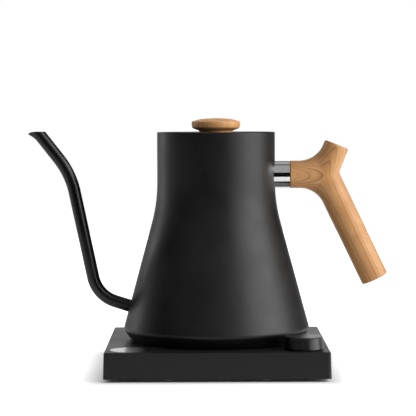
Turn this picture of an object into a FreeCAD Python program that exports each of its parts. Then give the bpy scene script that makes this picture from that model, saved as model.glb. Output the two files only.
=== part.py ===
import FreeCAD, Part
import math
import os
import Sketcher

# Gooseneck electric kettle on a square power base.
# Frame: origin at the centre of the base on the table, +X to the handle, -Y to the front, +Z up.

Vector = FreeCAD.Vector
Placement = FreeCAD.Placement
Rotation = FreeCAD.Rotation
doc = FreeCAD.newDocument("ElectricKettle")
sheet = doc.addObject("Spreadsheet::Sheet", "Sizes")
nodes = []


# ---------------------------------------------------------------- sizes
class Size:
    """A number that keeps the formula by which it follows from the cells of the sheet."""

    def __init__(self, value, formula=None):
        self.value = float(value)
        self.formula = formula or "(%r)" % float(value)

    def joined(self, sign, other, value):
        return Size(value, "(%s %s %s)" % (self.formula, sign, other.formula))

    def __add__(self, other):
        other = as_size(other)
        return self.joined("+", other, self.value + other.value)

    def __sub__(self, other):
        other = as_size(other)
        return self.joined("-", other, self.value - other.value)

    def __mul__(self, other):
        other = as_size(other)
        return self.joined("*", other, self.value * other.value)

    def __truediv__(self, other):
        other = as_size(other)
        return self.joined("/", other, self.value / other.value)

    def __neg__(self):
        return Size(-self.value, "(-%s)" % self.formula)

    def __radd__(self, other):
        return as_size(other) + self

    def __rsub__(self, other):
        return as_size(other) - self

    def __rmul__(self, other):
        return as_size(other) * self

    def __rtruediv__(self, other):
        return as_size(other) / self


def as_size(value):
    return value if isinstance(value, Size) else Size(value)


def sine(angle):
    angle = as_size(angle)
    return Size(math.sin(math.radians(angle.value)), "sin(%s)" % angle.formula)


def cosine(angle):
    angle = as_size(angle)
    return Size(math.cos(math.radians(angle.value)), "cos(%s)" % angle.formula)


def tangent(angle):
    angle = as_size(angle)
    return Size(math.tan(math.radians(angle.value)), "tan(%s)" % angle.formula)


def arc_tangent(slope):
    slope = as_size(slope)
    return Size(math.degrees(math.atan(slope.value)), "atan(%s)" % slope.formula)


def cell(name, content, value, meaning):
    cell.row += 1
    sheet.set("A%d" % cell.row, meaning)
    sheet.set("B%d" % cell.row, content)
    sheet.setAlias("B%d" % cell.row, name)
    return Size(value, "Sizes." + name)


cell.row = 0


def size(name, value, meaning):
    """A driving dimension: a plain number in the sheet."""
    return cell(name, str(value), value, meaning)


def derived(name, value, meaning):
    """A dimension that the sheet works out from the driving ones."""
    return cell(name, "=" + value.formula.replace("Sizes.", ""), value.value, meaning)


# ---------------------------------------------------------------- drawing and features
def bind(item, path, value):
    item.setExpression(path, as_size(value).formula)


def place(item, x=0, y=0, z=0):
    for axis, value in zip("xyz", (x, y, z)):
        bind(item, "Placement.Base." + axis, value)
    return item


def node(item):
    nodes.append(item)
    return item


def new_body(name, x=0, y=0, z=0):
    return place(doc.addObject("PartDesign::Body", name), x, y, z)


def new_sketch(body, name, plane="XY", offset=0):
    sketch = body.newObject("Sketcher::SketchObject", body.Name + "_" + name)
    support = [item for item in body.Origin.OriginFeatures if item.Role == plane + "_Plane"]
    sketch.AttachmentSupport = (support[0], [""])
    sketch.MapMode = "FlatFace"
    bind(sketch, "AttachmentOffset.Base.z", offset)
    return sketch


def constrain(sketch, kind, *where, value=None):
    """Adds one constraint; a sized one follows its formula."""
    if value is None:
        sketch.addConstraint(Sketcher.Constraint(kind, *where))
        return
    index = sketch.addConstraint(Sketcher.Constraint(kind, *where, value.value))
    sketch.setExpression("Constraints[%d]" % index, value.formula)


def locate(sketch, item, end, x, y):
    """Fixes a point of the sketch at x, y from the sketch's origin."""
    for kind, value, axis in (("DistanceX", x, -2), ("DistanceY", y, -1)):
        if abs(value.value) < 1e-9:
            constrain(sketch, "PointOnObject", item, end, axis)
        else:
            constrain(sketch, kind, item, end, value=value)


def draw_circle(sketch, x, y, radius):
    x, y, radius = as_size(x), as_size(y), as_size(radius)
    centre = Vector(x.value, y.value, 0)
    item = sketch.addGeometry(Part.Circle(centre, Vector(0, 0, 1), radius.value))
    locate(sketch, item, 3, x, y)
    constrain(sketch, "Radius", item, value=radius)


def corner_arc(before, here, after, radius):
    """The arc that rounds a corner, with the ends of the lines that meet it."""
    back = (before - here).normalize()
    ahead = (after - here).normalize()
    half = back.getAngle(ahead) / 2
    enter = here + back * (radius / math.tan(half))
    leave = here + ahead * (radius / math.tan(half))
    centre = here + (back + ahead).normalize() * (radius / math.sin(half))
    left_turn = (here - before).cross(after - here).z > 0
    first, last = (enter, leave) if left_turn else (leave, enter)
    start = math.atan2(first.y - centre.y, first.x - centre.x)
    finish = math.atan2(last.y - centre.y, last.x - centre.x)
    if finish < start:
        finish += 2 * math.pi
    arc = Part.ArcOfCircle(Part.Circle(centre, Vector(0, 0, 1), radius), start, finish)
    return enter, leave, arc, (1, 2) if left_turn else (2, 1)


def draw_line(sketch, corners, closed=True):
    """Draws straight lines through the corners (x, y) or (x, y, radius of the rounding)."""
    corners = [[as_size(value) for value in (tuple(item) + (0,))[:3]] for item in corners]
    spots = [Vector(x.value, y.value, 0) for x, y, radius in corners]
    count = len(corners)
    enters = list(spots)
    leaves = list(spots)
    arcs = {}
    for index, (x, y, radius) in enumerate(corners):
        if radius.value > 0:
            before, after = spots[index - 1], spots[(index + 1) % count]
            enters[index], leaves[index], arc, ends = corner_arc(before, spots[index], after, radius.value)
            arcs[index] = (sketch.addGeometry(arc), ends)
    spans = count if closed else count - 1
    lines = [
        sketch.addGeometry(Part.LineSegment(leaves[index], enters[(index + 1) % count]))
        for index in range(spans)
    ]
    for index, (x, y, radius) in enumerate(corners):
        line_in = lines[index - 1] if closed or index > 0 else None
        line_out = lines[index] if index < spans else None
        if index not in arcs:
            if line_out is None:
                locate(sketch, line_in, 2, x, y)
                continue
            if line_in is not None:
                constrain(sketch, "Coincident", line_in, 2, line_out, 1)
            locate(sketch, line_out, 1, x, y)
            continue
        arc, (first, last) = arcs[index]
        corner = sketch.addGeometry(Part.Point(spots[index]), True)
        constrain(sketch, "Tangent", line_in, 2, arc, first)
        constrain(sketch, "Tangent", arc, last, line_out, 1)
        constrain(sketch, "PointOnObject", corner, 1, line_in)
        constrain(sketch, "PointOnObject", corner, 1, line_out)
        locate(sketch, corner, 1, x, y)
        constrain(sketch, "Radius", arc, value=radius)


def draw_rectangle(sketch, x, y, width, depth, rounding=0):
    """A rectangle about x, y."""
    x, y, width, depth = as_size(x), as_size(y), as_size(width), as_size(depth)
    draw_line(sketch, [
        (x - width / 2, y - depth / 2, rounding),
        (x + width / 2, y - depth / 2, rounding),
        (x + width / 2, y + depth / 2, rounding),
        (x - width / 2, y + depth / 2, rounding),
    ])


def feature(body, kind, sketch, name):
    item = body.newObject("PartDesign::" + kind, body.Name + "_" + name)
    item.Profile = sketch
    sketch.Visibility = False
    return item


def settle(body, cuts=False, volume=0.0):
    """Recomputes and makes sure that a cut took something away."""
    doc.recompute()
    left = body.Tip.Shape.Volume
    if cuts and not left < volume - 1e-6:
        raise ValueError(body.Name + ": a cut took nothing away")


def revolve(body, name, corners, cuts=False, angle=360):
    volume = body.Tip.Shape.Volume if cuts else 0.0
    sketch = new_sketch(body, name + "_line", "XZ")
    draw_line(sketch, corners)
    item = feature(body, "Groove" if cuts else "Revolution", sketch, name)
    item.ReferenceAxis = (sketch, ["V_Axis"])
    bind(item, "Angle", angle)
    settle(body, cuts, volume)
    return item


def extrude(body, name, sketch, length, cuts=False, backwards=False, both=False):
    volume = body.Tip.Shape.Volume if cuts else 0.0
    item = feature(body, "Pocket" if cuts else "Pad", sketch, name)
    bind(item, "Length", length)
    item.Reversed = backwards
    if both:
        item.SideType = "Symmetric"
    settle(body, cuts, volume)
    return item


def circles(body, name, places, radius, bottom, height, cuts=False):
    """Round bosses, or holes, standing from bottom to bottom + height."""
    sketch = new_sketch(body, name + "_circles", "XY", bottom)
    for x, y in places:
        draw_circle(sketch, x, y, radius)
    return extrude(body, name, sketch, height, cuts, backwards=cuts)


def fillet(body, name, radius, wanted):
    """Rounds the edges for which wanted(edge) holds."""
    base = body.Tip
    names = ["Edge%d" % (index + 1) for index, edge in enumerate(base.Shape.Edges) if wanted(edge)]
    item = body.newObject("PartDesign::Fillet", body.Name + "_" + name)
    item.Base = (base, names)
    bind(item, "Radius", radius)
    settle(body)
    return item


def near(value, target):
    return abs(value - as_size(target).value) < 0.01


def level_edge(edge, z):
    """An edge that lies in the plane at height z."""
    return near(edge.BoundBox.ZMin, z) and near(edge.BoundBox.ZMax, z)


def turned(name, corners, x=0, y=0, z=0):
    """A sub-part that is one turned shape."""
    body = new_body(name, x, y, z)
    revolve(body, "turned", corners)
    return body


def ring(name, inner, outer, bottom, top, x=0, y=0):
    return turned(name, [(inner, bottom), (outer, bottom), (outer, top), (inner, top)], x, y)


def disc(name, radius, bottom, top, x=0, y=0):
    return ring(name, 0, radius, bottom, top, x, y)


def slab(name, width, depth, bottom, height, x=0, y=0, rounding=0):
    """A sub-part that starts as one rectangular pad about x, y."""
    body = new_body(name, x, y)
    sketch = new_sketch(body, "outline", "XY", bottom)
    draw_rectangle(sketch, 0, 0, width, depth, rounding)
    extrude(body, "block", sketch, height)
    return body


def primitive(kind, name, x, y, z, **sizes):
    item = doc.addObject("Part::" + kind, name)
    for key, value in sizes.items():
        bind(item, key, value)
    return place(item, x, y, z)


def group(name, items):
    """Identical pieces that share one node."""
    compound = doc.addObject("Part::Compound", name)
    compound.Links = items
    doc.recompute()
    return node(compound)


def screws(name, places, head_radius, head_bottom, head_height, shank_radius, length, key):
    """Upright screws with the head below and a six-sided socket in its underside."""
    made = []
    for index, (x, y) in enumerate(places):
        label = "%s_%d_" % (name, index + 1)
        head = primitive("Cylinder", label + "head", x, y, head_bottom, Radius=head_radius, Height=head_height)
        shank = primitive("Cylinder", label + "shank", x, y, head_bottom, Radius=shank_radius, Height=length)
        socket = primitive("Prism", label + "socket", x, y, head_bottom,
                           Circumradius=key, Height=head_height * 0.6)
        socket.Polygon = 6
        whole = doc.addObject("Part::Fuse", label + "whole")
        whole.Base, whole.Tool = head, shank
        screw = doc.addObject("Part::Cut", label + "screw")
        screw.Base, screw.Tool = whole, socket
        made.append(screw)
    return group(name, made)


# ---------------------------------------------------------------- driving dimensions
gap = size("gap", 0.3, "gap between pieces that move past each other")
slip = size("slip", 0.05, "radial gap of a shaft or a seated piece")

base_width = size("base_width", 174, "width of the base at its foot")
base_draft = size("base_draft", 0.6, "how far each side of the base leans in")
base_height = size("base_height", 22.7, "height of the top of the base")
base_corner = size("base_corner", 2.5, "radius of the base's upright corners")
base_wall = size("base_wall", 2.7, "thickness of the base's side walls")
base_roof = size("base_roof", 3.4, "thickness of the base's top")
shell_lift = size("shell_lift", 2.4, "height of the lower edge of the shell")
plate_inset = size("plate_inset", 9.5, "how far the raised part of the base plate stands in")
plate_lift = size("plate_lift", 0.8, "height of the underside of the base plate")
plate_thick = size("plate_thick", 2.0, "thickness of the base plate")
foot_radius = size("foot_radius", 7, "radius of a rubber foot")
foot_seat = size("foot_seat", 1.0, "depth of a foot in the plate")
foot_inset = size("foot_inset", 21, "distance of a foot from the base's sides")
seat_gap = size("seat_gap", 1.2, "gap round the kettle's lower edge in the seat")
seat_depth = size("seat_depth", 1.2, "depth of the round seat")
control_inset = size("control_inset", 20.2, "distance of the display and the dial from the base's sides")

lens_radius = size("lens_radius", 15.4, "radius of the display window")
bezel_width = size("bezel_width", 0.6, "width of the ring round the display window")
lens_thick = size("lens_thick", 1.8, "thickness of the display window")
dial_radius = size("dial_radius", 15.2, "radius of the dial")
dial_height = size("dial_height", 9.7, "height of the dial")
dial_travel = size("dial_travel", 0.5, "how far the dial can be pressed")
dial_wall = size("dial_wall", 2.2, "wall of the dial")
shaft_radius = size("shaft_radius", 3.0, "radius of the dial's shaft")

tower_radius = size("tower_radius", 17.2, "radius of the round connector on the base")
tower_rise = size("tower_rise", 5.5, "height of the round connector above the seat")
groove_inner = size("groove_inner", 4.2, "inner radius of the connector's groove")
groove_outer = size("groove_outer", 13.4, "outer radius of the connector's groove")
contact_thick = size("contact_thick", 0.6, "thickness of the ring contacts")
pin_radius = size("pin_radius", 1.6, "radius of the earth pin")

wall = size("kettle_wall", 0.8, "wall of the kettle")
neck_radius = size("neck_radius", 47.2, "radius of the kettle's straight neck")
body_height = size("body_height", 167.7, "height of the kettle's rim above its lower edge")
neck_length = size("neck_length", 56.0, "length of the neck from the rim to where its line meets the cone")
cone_angle = size("cone_angle", 15.13, "lean of the kettle's cone")
flare_radius = size("flare_radius", 127, "radius of the curve between neck and cone")
crease_rise = size("crease_rise", 9.5, "height of the crease under the cone above the kettle's lower edge")
bevel_height = size("bevel_height", 5.0, "height of the upper half of the bevel under the cone")
bevel_in = size("bevel_in", 3.2, "how far the upper half of the bevel runs in")
foot_in = size("foot_in", 4.2, "how far the lower half of the bevel runs in")
bevel_round = size("bevel_round", 15, "radius in the middle of the bevel")
crease_round = size("crease_round", 2.5, "radius of the crease under the cone")
rest_gap = size("rest_gap", 0.2, "gap under the kettle as it stands in the seat")
hem_width = size("hem_width", 1.2, "how far the folded rim stands in")
ledge_width = size("ledge_width", 1.0, "how far the lid's ledge stands in from the rim")
hem_depth = size("hem_depth", 1.6, "depth of the rim above the ledge, and of the ledge")
floor_height = size("floor_height", 14.3, "height of the kettle's floor above its lower edge")
floor_thick = size("floor_thick", 0.8, "thickness of the kettle's floor")

spout_radius = size("spout_radius", 5.0, "outer radius of the spout's tube")
spout_bore = size("spout_bore", 4.2, "radius of the spout's bore")
root_angle = size("root_angle", 17.5, "slope of the spout's root below level")
root_reach = size("root_reach", 95.9, "distance of the spout's lower bend from the axis")
root_rise = size("root_rise", 36.5, "height of the spout's lower bend above the kettle's lower edge")
rise_angle = size("rise_angle", 11.9, "lean of the spout's long straight")
rise_height = size("rise_height", 98.1, "height of the spout's long straight")
mouth_angle = size("mouth_angle", 38.0, "lean of the spout's mouth")
mouth_height = size("mouth_height", 33.8, "height of the mouth above the upper bend")
lower_bend = size("lower_bend", 26, "radius of the spout's lower bend")
upper_bend = size("upper_bend", 66, "radius of the spout's upper bend")
strainer_hole = size("strainer_hole", 1.3, "radius of a hole in the strainer behind the spout")

handle_thick = size("handle_thick", 22.0, "thickness of the handle")
handle_drop = size("handle_drop", 34.2, "depth of the handle's neck below the rim")
ferrule_end = size("ferrule_end", 12.0, "length of the steel ferrule outside the kettle's wall")
handle_reach = size("handle_reach", 27.8, "length of the handle's level neck beyond the ferrule")
grip_angle = size("grip_angle", 25.7, "lean of the grip")
grip_length = size("grip_length", 93.3, "length of the grip from the middle of the handle")
horn_angle = size("horn_angle", 22.4, "lean of the short horn above the grip")
horn_length = size("horn_length", 25.8, "length of the horn from the middle of the handle")
horn_width = size("horn_width", 20.2, "width of the horn")
inner_round = size("inner_round", 20.5, "radius of the hollows between neck, horn and grip")
outer_round = size("outer_round", 5.0, "radius of the hollow on the outside of the handle")
handle_edge = size("handle_edge", 8.5, "rounding of the handle's long edges")
stud_radius = size("stud_radius", 3.0, "radius of the handle's stud")
insert_radius = size("insert_radius", 5.0, "radius of the brass inserts in the wood")

lid_thick = size("lid_thick", 1.0, "thickness of the lid's top")
lid_skirt_depth = size("lid_skirt_depth", 11.0, "depth of the lid's skirt")
knob_radius = size("knob_radius", 19.6, "radius of the lid's knob")
knob_height = size("knob_height", 11.6, "height of the lid's knob above the lid")
knob_foot = size("knob_foot", 13.4, "radius of the knob where it meets the lid")

screw_radius = size("screw_radius", 1.5, "radius of the screws' shanks")
screw_head = size("screw_head", 2.8, "radius of the screws' heads")
screw_head_height = size("screw_head_height", 1.8, "height of the screws' heads")
screw_key = size("screw_key", 1.2, "size of the screws' sockets")
boss_radius = size("boss_radius", 3.5, "radius of the bosses that take the screws")
board_thick = size("board_thick", 1.6, "thickness of the circuit boards")

# ---------------------------------------------------------------- levels and places
half = derived("base_half", base_width / 2, "half the width of the base")
roof_under = derived("roof_under", base_height - base_roof, "underside of the base's top")
seat_level = derived("seat_level", base_height - seat_depth, "floor of the round seat")
plate_low_top = derived("plate_low_top", plate_lift + 1.8, "underside of the plate's flange")
plate_top = derived("plate_top", plate_low_top + plate_thick, "top of the base plate")
control = derived("control_place", half - control_inset, "place of the display and the dial")
foot_place = derived("foot_place", half - foot_inset, "place of a foot")
kettle_low = derived("kettle_low", seat_level + rest_gap, "lower edge of the kettle")
rim = derived("rim_level", kettle_low + body_height, "level of the rim")
neck_low = derived("neck_low", rim - neck_length, "level where the neck's line meets the cone's")
crease_level = derived("crease_level", kettle_low + crease_rise, "level of the crease")
crease_radius = derived("crease_radius", neck_radius + (neck_low - crease_level) * tangent(cone_angle),
                        "radius of the crease")
bevel_level = derived("bevel_level", crease_level - bevel_height, "level of the middle of the bevel")
bevel_radius = derived("bevel_radius", crease_radius - bevel_in, "radius of the middle of the bevel")
lower_radius = derived("lower_radius", bevel_radius - foot_in, "radius of the kettle's lower edge")
seat_radius = derived("seat_radius", lower_radius + seat_gap, "radius of the round seat")
floor_level = derived("floor_level", kettle_low + floor_height, "underside of the kettle's floor")
cone_skin = derived("cone_skin", wall / cosine(cone_angle), "thickness of the cone's wall measured level")


def cone_radius(level):
    """The kettle's outer radius where it is a cone."""
    return neck_radius + (neck_low - level) * tangent(cone_angle)


# ---------------------------------------------------------------- power base
four_corners = [(-1, -1), (1, -1), (1, 1), (-1, 1)]
screw_x = size("base_screw_x", 38, "place of the base's screws across")
screw_y = size("base_screw_y", 71, "place of the base's screws front to back")
screw_places = [(screw_x * across, screw_y * along) for across, along in four_corners]

board_width = size("board_width", 74, "width of the main board")
board_depth = size("board_depth", 32, "depth of the main board")
board_y = size("board_y", 47, "place of the main board")
board_lift = size("board_lift", 3.4, "height of the main board above the plate")
post_inset = size("post_inset", 3.5, "distance of a board's screws from its edges")
board_bottom = derived("board_bottom", plate_top + board_lift, "underside of the main board")
board_top = derived("board_top", board_bottom + board_thick, "top of the main board")
board_posts = [
    ((board_width / 2 - post_inset) * across, board_y + (board_depth / 2 - post_inset) * along)
    for across, along in four_corners
]

connector_bottom = size("connector_bottom", 8, "underside of the base's connector")
cord_x = size("cord_x", -50, "place of the cord's inlet across the back")
cord_radius = size("cord_radius", 3.5, "radius of the bore for the mains cord")
gland_radius = size("gland_radius", 5.2, "radius of the cord's gland in the wall")
switch_x = size("switch_x", 58, "place of the hold switch across the back")
rear_level = size("rear_level", 12, "height of the cord's inlet and the hold switch")
slot_length = size("slot_length", 10, "length of the hold switch's slot")
slot_height = size("slot_height", 3.6, "height of the hold switch's slot")

shell = new_body("base_shell")
outline = new_sketch(shell, "outline", "XY", shell_lift)
draw_rectangle(outline, 0, 0, base_width, base_width, base_corner)
shell_block = extrude(shell, "block", outline, base_height - shell_lift)
bind(shell_block, "TaperAngle", -arc_tangent(base_draft / (base_height - shell_lift)))
settle(shell)
fillet(shell, "top_edge", 0.8, lambda edge: level_edge(edge, base_height))
hollow = new_sketch(shell, "hollow_outline", "XY", shell_lift)
draw_rectangle(hollow, 0, 0, base_width - base_wall * 2, base_width - base_wall * 2, 1.5)
extrude(shell, "hollow", hollow, roof_under - shell_lift, cuts=True, backwards=True)
circles(shell, "seat", [(0, 0)], seat_radius, seat_level, seat_depth + 1, cuts=True)
circles(shell, "connector_hole", [(0, 0)], tower_radius + gap, roof_under - 1, base_roof + 2, cuts=True)
circles(shell, "display_step", [(-control, -control)], lens_radius + bezel_width + slip,
        base_height - lens_thick - slip, lens_thick + 2, cuts=True)
circles(shell, "display_hole", [(-control, -control)], lens_radius - 1.6, roof_under - 1, base_roof + 2,
        cuts=True)
bush_radius = derived("bush_radius", shaft_radius + 1.5, "radius of the bush round the dial's shaft")
circles(shell, "shaft_hole", [(control, -control)], bush_radius + slip, roof_under - 1, base_roof + 2,
        cuts=True)
boss_base = derived("boss_base", plate_top + slip, "lower end of the screw bosses")
circles(shell, "bosses", screw_places, boss_radius, boss_base, roof_under - boss_base + 0.5)
circles(shell, "pilot_holes", screw_places, screw_radius + slip, boss_base - 1, 9, cuts=True)
rear = new_sketch(shell, "rear_openings", "XZ", -(half + 2))
draw_circle(rear, cord_x, rear_level, gland_radius + slip)
draw_rectangle(rear, switch_x, rear_level, slot_length, slot_height, 0.5)
extrude(shell, "rear_cut", rear, base_wall + 4, cuts=True, backwards=True)
node(shell)

plate = new_body("base_plate")
raised = new_sketch(plate, "raised_outline", "XY", plate_lift)
draw_rectangle(raised, 0, 0, base_width - plate_inset * 2, base_width - plate_inset * 2, 4)
extrude(plate, "raised", raised, plate_top - plate_lift)
flange = new_sketch(plate, "flange_outline", "XY", plate_low_top)
flange_width = base_width - base_wall * 2 - slip * 4
draw_rectangle(flange, 0, 0, flange_width, flange_width, 1.5)
extrude(plate, "flange", flange, plate_thick)
circles(plate, "board_posts", board_posts, 2.8, plate_top - 0.5, board_lift + 0.5)
saddle = derived("saddle_radius", tower_radius - 1.5, "radius of the saddle under the connector")
circles(plate, "saddle", [(0, 0)], saddle, plate_top - 0.5, connector_bottom - slip - plate_top + 0.5)
circles(plate, "saddle_hollow", [(0, 0)], saddle - 2, plate_top, connector_bottom, cuts=True)
# a foot near each corner, and one in the middle under the weight of the kettle
feet_places = [(foot_place * across, foot_place * along) for across, along in four_corners] + [(0, 0)]
circles(plate, "foot_seats", feet_places, foot_radius + slip, plate_lift - 1, foot_seat + 1, cuts=True)
circles(plate, "head_seats", screw_places, screw_head + slip, plate_lift - 1, screw_head_height + 1.1,
        cuts=True)
circles(plate, "screw_holes", screw_places, screw_radius + slip, plate_lift, plate_thick + 3, cuts=True)
circles(plate, "post_holes", board_posts, screw_radius - 0.25, plate_top, board_lift + 1, cuts=True)
node(plate)

group("base_feet", [
    primitive("Cylinder", "foot_%d" % (index + 1), x, y, 0,
              Radius=foot_radius, Height=plate_lift + foot_seat)
    for index, (x, y) in enumerate(feet_places)
])
screws("base_screws", screw_places, screw_head, plate_lift + 0.05, screw_head_height,
       screw_radius, 11, screw_key)

# the base's half of the cordless connector
tower_top = derived("tower_top", seat_level + tower_rise, "top of the base's connector")
groove_floor = size("groove_floor", 14, "floor of the connector's groove")
pin_rise = size("pin_rise", 1.5, "height of the earth pin above its post")
connector = turned("base_connector", [
    (pin_radius, connector_bottom), (tower_radius, connector_bottom),
    (tower_radius, roof_under - 2.2), (tower_radius + 6.8, roof_under - 2.2),
    (tower_radius + 6.8, roof_under - slip), (tower_radius, roof_under - slip),
    (tower_radius, tower_top, 0.8), (groove_outer, tower_top, 0.4), (groove_outer, groove_floor),
    (groove_inner, groove_floor), (groove_inner, tower_top, 0.4), (pin_radius, tower_top),
])
node(connector)
node(ring("live_ring", groove_outer - contact_thick, groove_outer, groove_floor, groove_floor + 7))
node(ring("neutral_ring", groove_inner, groove_inner + contact_thick, groove_floor, groove_floor + 9))
node(turned("earth_pin", [
    (0, connector_bottom - 1), (pin_radius, connector_bottom - 1),
    (pin_radius, tower_top + pin_rise, 0.6), (0, tower_top + pin_rise),
]))

# the electronics inside the base
relay_width = size("relay_width", 20, "width of the power relay")
relay_depth = size("relay_depth", 16, "depth of the power relay")
relay_x = size("relay_x", -22, "place of the power relay across")
supply_width = size("supply_width", 18, "width of the power supply")
supply_depth = size("supply_depth", 20, "depth of the power supply")
supply_x = size("supply_x", 6, "place of the power supply across")
can_radius = size("can_radius", 5.5, "radius of the filter capacitor")
can_x = size("can_x", 24, "place of the filter capacitor across")
main_board = slab("main_board", board_width, board_depth, board_bottom, board_thick, 0, board_y, 1)
board_head_height = size("board_head_height", 1.4, "height of the heads of the board's screws")
board_screw_depth = size("board_screw_depth", 2.4, "depth of the board's screws below it")
board_holes = [(x, y - board_y) for x, y in board_posts]
circles(main_board, "holes", board_holes, screw_radius, board_bottom - 1, board_thick + 2, cuts=True)
node(main_board)
part_height = derived("part_height", roof_under - board_top - 1, "room above the main board")
node(slab("power_relay", relay_width, relay_depth, board_top, part_height, relay_x, board_y, 0.5))
node(slab("power_supply", supply_width, supply_depth, board_top, part_height - 1, supply_x, board_y, 0.5))
node(disc("filter_capacitor", can_radius, board_top, board_top + part_height - 0.5, can_x, board_y))
board_screws = []
for index, (x, y) in enumerate(board_posts):
    head = primitive("Cylinder", "board_screw_%d_head" % (index + 1), x, y, board_top,
                     Radius=screw_head - 0.3, Height=board_head_height)
    shank = primitive("Cylinder", "board_screw_%d_shank" % (index + 1), x, y, board_bottom - board_screw_depth,
                      Radius=screw_radius - 0.3, Height=board_screw_depth + board_thick + 0.6)
    whole = doc.addObject("Part::Fuse", "board_screw_%d" % (index + 1))
    whole.Base, whole.Tool = head, shank
    board_screws.append(whole)
group("board_screws", board_screws)

# the round display at the front left
display_level = derived("display_level", base_height - lens_thick, "underside of the display window")
node(ring("display_bezel", lens_radius + slip, lens_radius + bezel_width, display_level, base_height,
          -control, -control))
node(disc("display_lens", lens_radius, display_level, base_height, -control, -control))
lcd_thick = size("lcd_thick", 2.6, "thickness of the display panel")
lcd_top = derived("lcd_top", roof_under - 0.4, "top of the display panel")
lcd_low = derived("lcd_low", lcd_top - lcd_thick, "underside of the display panel")
lcd_width = size("lcd_width", 26, "width of the display panel")
lcd_depth = size("lcd_depth", 24, "depth of the display panel")
lcd_margin = size("lcd_margin", 3, "how far the display's board stands out round the panel")
node(slab("lcd_module", lcd_width, lcd_depth, lcd_low, lcd_thick, -control, -control, 0.8))
node(slab("display_board", lcd_width + lcd_margin * 2, lcd_depth + lcd_margin * 2,
          lcd_low - board_thick, board_thick, -control, -control, 1))

# the dial at the front right, which turns and presses
dial_bottom = derived("dial_bottom", base_height + dial_travel + 0.1, "lower edge of the dial")
dial_top = derived("dial_top", dial_bottom + dial_height, "top of the dial")
dial_inner = derived("dial_inner", dial_top - dial_wall, "underside of the dial's top")
encoder_size = size("encoder_size", 12.4, "width of the rotary encoder")
encoder_thick = size("encoder_thick", 6.2, "height of the encoder's case")
encoder_lift = size("encoder_lift", 3, "height of the encoder's board above the plate")
encoder_low = derived("encoder_low", plate_top + encoder_lift + board_thick, "underside of the encoder")
encoder_top = derived("encoder_top", encoder_low + encoder_thick, "top of the encoder's case")
encoder_board = size("encoder_board_width", 24, "width of the encoder's board")
node(slab("encoder_board", encoder_board, encoder_board, plate_top + encoder_lift, board_thick,
          control, -control, 1))
encoder = slab("encoder_body", encoder_size, encoder_size, encoder_low, encoder_thick, control, -control, 0.4)
circles(encoder, "bush", [(0, 0)], bush_radius, encoder_top - 1, base_height - encoder_top + 0.9)
circles(encoder, "shaft_bore", [(0, 0)], shaft_radius + slip, encoder_low + 2.8, base_height, cuts=True)
plunger_radius = size("plunger_radius", 1.9, "radius of the encoder's plunger")
circles(encoder, "plunger_bore", [(0, 0)], plunger_radius + 0.1, encoder_low + 0.8, 4, cuts=True)
node(encoder)
plunger_top = derived("plunger_top", encoder_low + 4.0, "top of the encoder's plunger")
node(disc("encoder_plunger", plunger_radius, encoder_low + 1.4, plunger_top, control, -control))
node(turned("encoder_shaft", [
    (0, plunger_top), (shaft_radius, plunger_top), (shaft_radius, dial_inner - 0.6, 0.4), (0, dial_inner - 0.6),
], control, -control))
hub_radius = derived("hub_radius", shaft_radius + 2.2, "radius of the dial's hub")
node(turned("dial_knob", [
    (dial_radius - dial_wall, dial_bottom), (dial_radius, dial_bottom), (dial_radius, dial_top, 0.5),
    (0, dial_top), (0, dial_inner - 0.5), (shaft_radius, dial_inner - 0.5), (shaft_radius, dial_bottom + 1.5),
    (hub_radius, dial_bottom + 1.5), (hub_radius, dial_inner), (dial_radius - dial_wall, dial_inner),
], control, -control))

# the cord's gland and the hold switch at the back
inner_face = derived("inner_face", half - base_wall, "inner face of the base's side walls")
gland_depth = size("gland_depth", 7, "depth of the gland inside the wall")
gland_flange = derived("gland_flange", gland_radius + 1.8, "radius of the gland's flange")
gland_proud = derived("gland_proud", base_wall + 1.2, "outer end of the gland")
gland = turned("cord_gland", [
    (cord_radius, -gland_depth), (gland_flange, -gland_depth), (gland_flange, -slip), (gland_radius, -slip),
    (gland_radius, base_wall), (gland_radius - 0.4, gland_proud, 0.3), (cord_radius, gland_proud),
])
gland.Placement.Rotation = Rotation(Vector(1, 0, 0), -90)
place(gland, cord_x, inner_face, rear_level)
node(gland)
switch_depth = size("switch_depth", 6, "depth of the hold switch's case")
switch_travel = size("switch_travel", 3, "travel of the hold switch")
slider_length = size("slider_length", 6, "length of the hold switch's slider")
switch_height = size("switch_height", 9, "height of the hold switch's case")
switch = new_body("hold_switch_body", switch_x, inner_face - slip, rear_level)
case = new_sketch(switch, "outline", "XZ")
draw_rectangle(case, 0, 0, slot_length + 6, switch_height, 0.5)
extrude(switch, "case", case, switch_depth)
track = new_sketch(switch, "track_outline", "XZ", -1)
draw_rectangle(track, 0, 0, slot_length, slot_height, 0.5)
extrude(switch, "track", track, 4, cuts=True, backwards=True)
node(switch)
slider = new_body("hold_slider", switch_x - switch_travel / 2, inner_face, rear_level)
block = new_sketch(slider, "outline", "XZ", 2.5)
draw_rectangle(block, 0, 0, slider_length, slot_height - gap * 2, 0.4)
extrude(slider, "block", block, base_wall + 3.0, backwards=True)
node(slider)

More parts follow.
